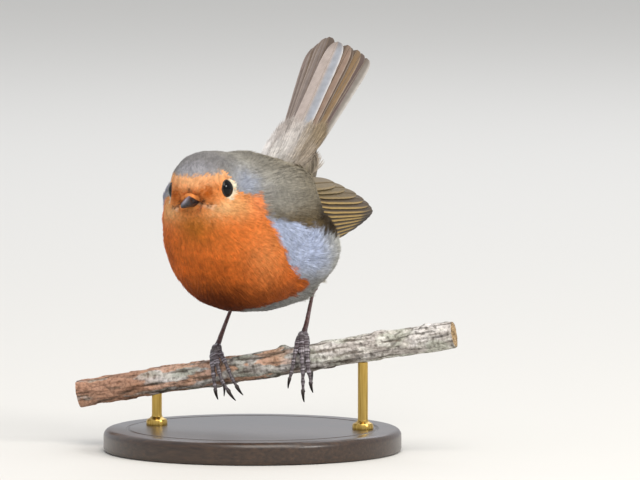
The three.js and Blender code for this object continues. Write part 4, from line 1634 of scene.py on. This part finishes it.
def leg_material():
    """Dry scaled skin: grey brown, semi matt, dark between the scutes."""
    material, shader = new_material("scaled_leg_skin", {"Roughness": 0.32, "Specular IOR Level": 0.6})
    cloud = grain(material, place_on(material), 0.35, 4.0)
    stops = [(0.3, "#8f8a88"), (0.65, "#ffffff")]
    colour = shaded(material, attribute(material, "tint"), 0.7, cloud, stops)
    join(material, colour, shader.inputs["Base Color"])
    bumped(material, shader, cloud, 0.04, 0.5)
    return material


def stations(thing, start):
    """Distance of every corner from the corner nearest to a start, over the mesh, in mm."""
    places = corners(thing)
    edges = np.empty(len(thing.data.edges) * 2, int)
    thing.data.edges.foreach_get("vertices", edges)
    edges = edges.reshape(-1, 2)
    spans = np.linalg.norm(places[edges[:, 0]] - places[edges[:, 1]], axis=1) / MM
    far = np.full(len(places), np.inf)
    far[far_from(places, start).argmin()] = 0
    for _ in range(len(places)):
        before = far.copy()
        np.minimum.at(far, edges[:, 0], before[edges[:, 1]] + spans)
        np.minimum.at(far, edges[:, 1], before[edges[:, 0]] + spans)
        if np.array_equal(before, far):
            break
    return far


def one_shell(thing):
    """Deletes everything that isn't joined to the highest corner, such as a bubble inside."""
    only(thing)
    highest = int(corners(thing)[:, 2].argmax())
    bpy.ops.object.mode_set(mode="EDIT")
    bpy.ops.mesh.select_all(action="DESELECT")
    bpy.ops.object.mode_set(mode="OBJECT")
    thing.data.vertices[highest].select = True
    bpy.ops.object.mode_set(mode="EDIT")
    bpy.ops.mesh.select_linked()
    bpy.ops.mesh.select_all(action="INVERT")
    bpy.ops.mesh.delete(type="VERT")
    bpy.ops.object.mode_set(mode="OBJECT")


def middle_line(places, station, gap=0.9):
    """Points along the middle of a limb: the mean of its corners in each stretch of its length."""
    number = ((station - station.min()) / gap).astype(int)
    counts = np.bincount(number)
    line = np.column_stack([np.bincount(number, places[:, axis]) for axis in range(3)])
    line = line[counts > 20] / counts[counts > 20, None]
    line[1:-1] = (line[:-2] + 2 * line[1:-1] + line[2:]) / 4
    return line


def beside_line(places, line):
    """How far along a line each place lies, in mm, and the point of the line beside it."""
    ways = np.diff(line, axis=0)
    spans = np.linalg.norm(ways, axis=1)
    share = ((places[:, None] - line[:-1]) * ways).sum(2) / spans ** 2
    share = np.clip(share, 0, 1)
    spots = line[:-1] + ways * share[..., None]
    far = np.linalg.norm(places[:, None] - spots, axis=2)
    weight = np.exp(-(far - far.min(1, keepdims=True)) / (0.06 * MM))
    weight = weight / weight.sum(1, keepdims=True)
    before = np.concatenate([[0], np.cumsum(spans)[:-1]])
    station = ((before + share * spans) * weight).sum(1)
    return station / MM, (spots * weight[..., None]).sum(1)


def limb(kind, places, station, apart):
    """New places and tints for the corners of one limb, with a painted highlight on top and painted shade
    beneath.
    """
    along, spots = beside_line(places, middle_line(places, station))
    off = places - spots
    radius = np.linalg.norm(off, axis=1) / MM
    out = unit(off)
    if kind == "tarsus":
        top = step(-0.3, 0.4, out @ SHIN)
        knuckle = np.zeros(len(places))
    else:
        from_branch = spots - perch_middle
        from_branch = from_branch - np.outer(from_branch @ perch_way, perch_way)
        top = step(-0.1, 0.5, (out * unit(from_branch)).sum(1))
        knuckle = (0.5 + 0.5 * np.cos(along / KNUCKLE * math.tau)) ** 2
    # Scutes are uneven: their edges wander along the limb. Each rises towards its free edge.
    warped = along + 0.22 * SCUTE[kind] * np.sin(along * 1.9 + len(places))
    plate = warped / SCUTE[kind] % 1
    # Where limbs meet, the fused skin keeps its own thickness.
    free = step(0.25, 0.9, apart)
    girth = np.interp(along / along.max(), *zip(*GIRTH[kind]))
    relief = knuckle * (0.10 + 0.10 * (1 - top))
    relief = relief + 0.08 * top * plate ** 0.7 * (1 - step(0.82, 1.0, plate)) - 0.05
    radius = radius + free * (girth - radius) + relief
    uneven = 0.6 + 0.4 * np.sin(np.floor(warped / SCUTE[kind]) * 2.4 + 1.0)
    if kind == "toe":
        skin_colour, painted_highlight, groove_depth = "#584c50", 0.15 + 0.6 * knuckle * uneven, 0.6
    else:
        skin_colour, painted_highlight, groove_depth = "#6e4b47", 0.12 * uneven, 0.25
    groove = step(0.86, 0.95, plate) + step(0.07, 0.02, plate)
    # Painted light: the tops of the scutes carry a painted highlight, strongest on the toes' knuckles.
    # The side away from the top, under the toes and behind the tarsus, is painted dark as shade.
    tint = layered(
        skin_colour,
        ("#d8d0da", top * painted_highlight * step(0.2, 0.55, plate) * step(0.88, 0.75, plate)),
        ("#1d1718", top * groove * groove_depth),
        ("#2e2524", (1 - top) * 0.75),
    )
    return spots + out * (radius * MM)[:, None], tint


def make_leg(side, names):
    """One leg's skin: its solids, with balls in the ankle and the palm, fused and then shaped."""
    leg = copy_of(names, "leg_skin_" + side)
    tops = [corners_of(name)[corners_of(name)[:, 2].argsort()[-8:]].mean(0) for name in names[1:]]
    palm = np.mean(tops[:3], axis=0)
    shank = corners_of(names[0])
    heel = shank[far_from(shank, palm).argsort()[:16]].mean(0)
    up_shank = unit(shank.mean(0) - heel)
    # Balls, with radii in mm, that fill out the ankle, the palm and the foot of the shank.
    plugs = (
        (heel, 1.2), ((heel + palm) / 2, 1.3), ((heel + tops[3]) / 2, 1.2), (palm, 1.25),
        (heel + up_shank * 1.5 * MM, 1.08), (heel + up_shank * 3.0 * MM, 0.95),
    )
    for place, size in plugs:
        plugged(leg, place, [size] * 3, np.eye(3))
    one_shell(fused(leg, gap=0.14, voxel=0.14, rounds=8))
    places = corners(leg)
    station = stations(leg, places[places[:, 2].argmax()])
    part, apart = nearest_part(places, names)
    tints = np.zeros_like(places)
    for name in names:
        mine = part == name
        kind = name.split("_")[0]
        places[mine], tints[mine] = limb(kind, places[mine], station[mine], apart[mine])
    reshape(leg, places)
    at_ankle = step(4.5, 0.5, far_from(places, heel))
    painted(leg, layered(tints, ("#4a3d40", 0.75 * at_ankle)))
    ankle = leg.vertex_groups.new(name="ankle")
    for index in np.flatnonzero(at_ankle > 0.02):
        ankle.add([int(index)], float(at_ankle[index]), "REPLACE")
    relaxed(leg, 1)
    relaxed(leg, 24, "ankle")
    apply_all(leg)
    leg.vertex_groups.clear()
    return smooth(leg)


leg_skin = leg_material()
for side in SIDES:
    names = ["tarsus_" + side] + [f"toe_{side}_{toe}" for toe in ("inner", "middle", "outer", "hind")]
    finished(make_leg(side, names), leg_skin, "leg_skin", *names)

# %% [markdown]
# ## Perch
# The perch is a cut length of dead branch: grey bark with lichen, split along its length, and
# peeled in places down to orange inner bark. A tube is laid along the solid's own axis and given
# ridges, cracks, knots and hollows by noise that is stretched along the branch.

# %% Lay the branch
PERCH_RINGS = 400
PERCH_SIDES = 100
# Each knot's place along the branch in mm, its turn round it in radians and its height in mm.
KNOTS = ((66, 1.9, 1.5), (24, 2.6, 1.0), (97, 1.2, 1.2), (44, 4.4, 1.1))


def bark_material():
    """Weathered bark: grey, furrowed along the branch, with lichen and peeled inner bark."""
    material, shader = new_material("weathered_bark_with_lichen", {
        "Roughness": 0.85, "Specular IOR Level": 0.25,
    })
    place = place_on(material)
    # Fibres run along the branch, so the pattern is turned to its axis and drawn out along it.
    turn = Vector(perch_way).to_track_quat("X", "Z").to_euler()
    along = add(
        material, "Mapping", {"vector_type": "TEXTURE", "Rotation": turn, "Scale": (9.0, 1.0, 1.0)},
        {"Vector": place},
    ).outputs["Vector"]
    fibre = grain(material, along, 1.1, 7.0)
    worn = grain(material, place, 0.9, 6.0)
    mould = grain(material, place, 2.6, 5.0)
    tint = attribute(material, "tint")
    split = [(0.32, "#57504a"), (0.46, "#efedea"), (0.6, "#ffffff")]
    colour = shaded(material, tint, 0.75, fibre, split)
    colour = shaded(material, colour, 0.6, worn, [(0.34, "#908b85"), (0.55, "#ffffff")])
    colour = shaded(material, colour, 0.35, mould, [(0.35, "#c9c5bc"), (0.65, "#ffffff")])
    join(material, colour, shader.inputs["Base Color"])
    relief = add(material, "Math", {"operation": "ADD"}, {0: fibre, 1: worn}).outputs[0]
    bumped(material, shader, relief, 0.35, 0.9)
    return material


def turned(name, profile, steps):
    """Extrudes a corner along a profile, pairs of radius and height, and spins it round Z."""
    made = made_by(bpy.ops.mesh.primitive_plane_add, name, size=1)
    bpy.ops.object.mode_set(mode="EDIT")
    bpy.ops.mesh.merge(type="CENTER")
    bpy.ops.transform.translate(value=(profile[0][0], 0, profile[0][1]))
    for last, place in zip(profile, profile[1:]):
        way = (place[0] - last[0], 0, place[1] - last[1])
        bpy.ops.mesh.extrude_region_move(TRANSFORM_OT_translate={"value": way})
    bpy.ops.mesh.select_all(action="SELECT")
    bpy.ops.mesh.spin(steps=steps, angle=math.tau, center=(0, 0, 0), axis=(0, 0, 1))
    bpy.ops.object.mode_set(mode="OBJECT")
    edited(made, bpy.ops.mesh.remove_doubles, threshold=1e-6)
    edited(made, bpy.ops.mesh.normals_make_consistent, inside=False)
    return made


def bark_colour(wrapped, along, ridges, lumps):
    """Grey bark with lichen and soot, peeled to orange inner bark towards the bird's right."""
    lichen = waves(wrapped * [1, 1, 0.5], 4.0, 11)
    pale = waves(wrapped * [1, 1, 0.5], 1.6, 7)
    soot = waves(wrapped, 1.3, 12)
    strips = waves(wrapped * [1, 1, 0.22], 2.3, 9) + 0.3 * waves(wrapped * [1, 1, 0.4], 0.9, 10)
    between_feet = np.exp(-((along - 57) / 8) ** 2)
    peeled = step(0.0, 0.12, strips + 0.3 * step(30, 10, along) + 0.06 * between_feet)
    peeled = peeled * step(75, 62, along)
    return layered(
        "#d4cdc8",
        ("#f6f2f0", step(-0.3, 0.4, lumps)),
        ("#bfc8b4", step(0.0, 0.3, lichen) * 0.5),
        ("#f6f3ec", step(0.15, 0.4, pale) * 0.8),
        ("#6c675f", step(0.2, 0.45, soot) * 0.7),
        ("#f6bd9a", peeled * 0.75),
        ("#b98b72", step(32, 18, along) * (0.45 + 0.3 * peeled)),
        ("#6d6256", step(-0.12, -0.5, ridges) * 0.75),
    )


def make_perch():
    """A tube along the solid's axis, shaped and coloured by noise stretched along the branch."""
    cap = np.linspace(0, 0.94, 14)
    profile = [(share, 0) for share in cap]
    profile += [(1, height) for height in np.linspace(0, 1, PERCH_RINGS)]
    profile += [(share, 1) for share in cap[::-1]]
    made = turned("perch_bark", profile, PERCH_SIDES)
    x, y, height = corners(made).T
    length = (PERCH_ENDS[1] - PERCH_ENDS[0]) / MM
    along = height * length
    turn = np.arctan2(y, x)
    rim = np.hypot(x, y)
    on_side = rim > 0.99
    # Noise is looked up on a cylinder in mm, squeezed along the branch so that it comes out long.
    wrapped = np.column_stack([np.cos(turn) * 4, np.sin(turn) * 4, along])
    ridges = waves(wrapped * [1, 1, 0.16], 1.1, 1)
    fine = waves(wrapped * [1, 1, 0.16] * [1, 1, 1.6], 0.45, 2)
    lumps = waves(wrapped * [0.6, 0.6, 0.5], 5.0, 3)
    flakes = waves(wrapped * [1, 1, 0.5], 2.2, 4)
    radius = PERCH_RADIUS / MM * (1 + 0.035 * (along / length - 0.5))
    for knot_at, knot_turn, knot_size in KNOTS:
        gap = np.hypot(along - knot_at, 4.3 * np.angle(np.exp(1j * (turn - knot_turn))))
        radius = radius + knot_size * np.exp(-(gap / 2.0) ** 2) - 0.4 * np.exp(-(gap / 0.8) ** 2)
    rough = 0.22 * ridges + 0.10 * fine + 0.30 * lumps + 0.28 * step(0.0, 0.1, flakes)
    radius = np.where(on_side, radius + rough - 0.35, rim * (radius - 0.35 + 0.3 * lumps))
    inset = np.where(rim < 0.9, 0.25 * fine, 0)
    bend = 0.5 * np.sin(along / length * 9) * np.sin(along / length * math.pi)
    spread = perch_front * np.cos(turn)[:, None] + perch_high * np.sin(turn)[:, None]
    axis = perch_middle + perch_way * (PERCH_ENDS[0] + (along + inset) * MM)[:, None]
    axis = axis + perch_high * (bend * MM)[:, None] * 0.4
    reshape(made, axis + spread * (radius * MM)[:, None])
    rings = 0.5 + 0.5 * np.sin(rim * 34)
    cut_wood = layered("#d9bf96", ("#a5825a", rings))
    bark = bark_colour(wrapped, along, ridges, lumps)
    painted(made, np.clip(np.where(on_side[:, None], bark, cut_wood), 0, 1))
    return smooth(made, 60)


finished(make_perch(), bark_material(), "bark", "perch")

# %% [markdown]
# ## Display stand
# A turned disc of dark stained wood carries two slim brass rods, each in a small collar. The rods
# end inside the branch, as they do on a museum mount.

# %% Turn the stand


def stained_wood():
    """Close-grained hardwood, stained nearly black and waxed."""
    material, shader = new_material("dark_stained_hardwood", {
        "Roughness": 0.35, "Coat Weight": 0.3, "Coat Roughness": 0.2,
    })
    grown = add(material, "Mapping", {"Scale": (1.0, 9.0, 9.0)}, {"Vector": place_on(material)})
    settings = {"Scale": 1 / (9 * MM), "Detail": 8.0, "Roughness": 0.65}
    veins = add(material, "TexNoise", settings, {"Vector": grown.outputs["Vector"]}).outputs["Fac"]
    colour = ramp(material, veins, [(0.3, "#241a14"), (0.55, "#3d2c20"), (0.75, "#503a29")])
    join(material, colour, shader.inputs["Base Color"])
    bumped(material, shader, veins, 0.05, 0.4)
    return material


def drawn_brass():
    """Lacquered brass rod, drawn lengthwise."""
    material, shader = new_material("drawn_brass", {"Metallic": 1.0, "Roughness": 0.28})
    drawn = add(material, "Mapping", {"Scale": (1.0, 1.0, 0.03)}, {"Vector": place_on(material)})
    lines = grain(material, drawn.outputs["Vector"], 0.3)
    colour = ramp(material, lines, [(0.3, "#b08d45"), (0.7, "#d6b566")])
    join(material, colour, shader.inputs["Base Color"])
    return material


def set_upright(made, node, foot):
    """Stands a turned piece on a height, in the middle of the solid it replaces."""
    low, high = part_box(node)
    middle = (low + high) / 2
    reshape(made, corners(made) + [middle.x, middle.y, foot])
    return made


def make_base():
    """A disc with a rounded lip, an incised ring on top and a small chamfer below."""
    low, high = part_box("stand_base")
    radius, height = (high.x - low.x) / 2, high.z - low.z
    lip = 2.2 * MM
    ring = radius - 7.5 * MM
    profile = [(0, 0), (radius * 0.5, 0), (radius - 1.0 * MM, 0), (radius - 0.3 * MM, 0.3 * MM)]
    profile += [(radius, 1.0 * MM), (radius, 1.6 * MM)]
    for turn in np.radians(range(0, 91, 10)):
        profile.append((radius - lip + lip * math.cos(turn), height - lip + lip * math.sin(turn)))
    groove = ((0.6, 0), (0.35, 0.25), (0, 0.4), (-0.35, 0.25), (-0.6, 0))  # mm, outwards and deep
    profile += [(ring + out * MM, height - deep * MM) for out, deep in groove]
    profile += [(radius * 0.4, height), (0, height)]
    made = turned("stand_base_turned", profile, 128)
    return smooth(set_upright(made, "stand_base", low.z), 40)


def make_rod(side):
    """A round rod with a collar where it enters the base. Its top ends inside the branch."""
    node = "stand_rod_" + side
    low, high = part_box(node)
    radius = (high.x - low.x) / 2
    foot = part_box("stand_base")[1].z
    top = (high.z - foot) / radius + 0.6
    # The collar's radii and heights, as shares of the rod's radius.
    profile = [
        (0, -0.5), (2.0, -0.5), (2.1, 0.0), (2.1, 0.8), (1.9, 1.2), (1.45, 1.4), (1.1, 1.7),
        (1.0, 2.1), (1.0, top), (0, top),
    ]
    made = turned("brass_rod_" + side, [(r * radius, h * radius) for r, h in profile], 48)
    return smooth(set_upright(made, node, foot), 35)


finished(make_base(), stained_wood(), "stand_wood", "stand_base")
brass = drawn_brass()
for side in SIDES:
    finished(make_rod(side), brass, "stand_brass", "stand_rod_" + side)
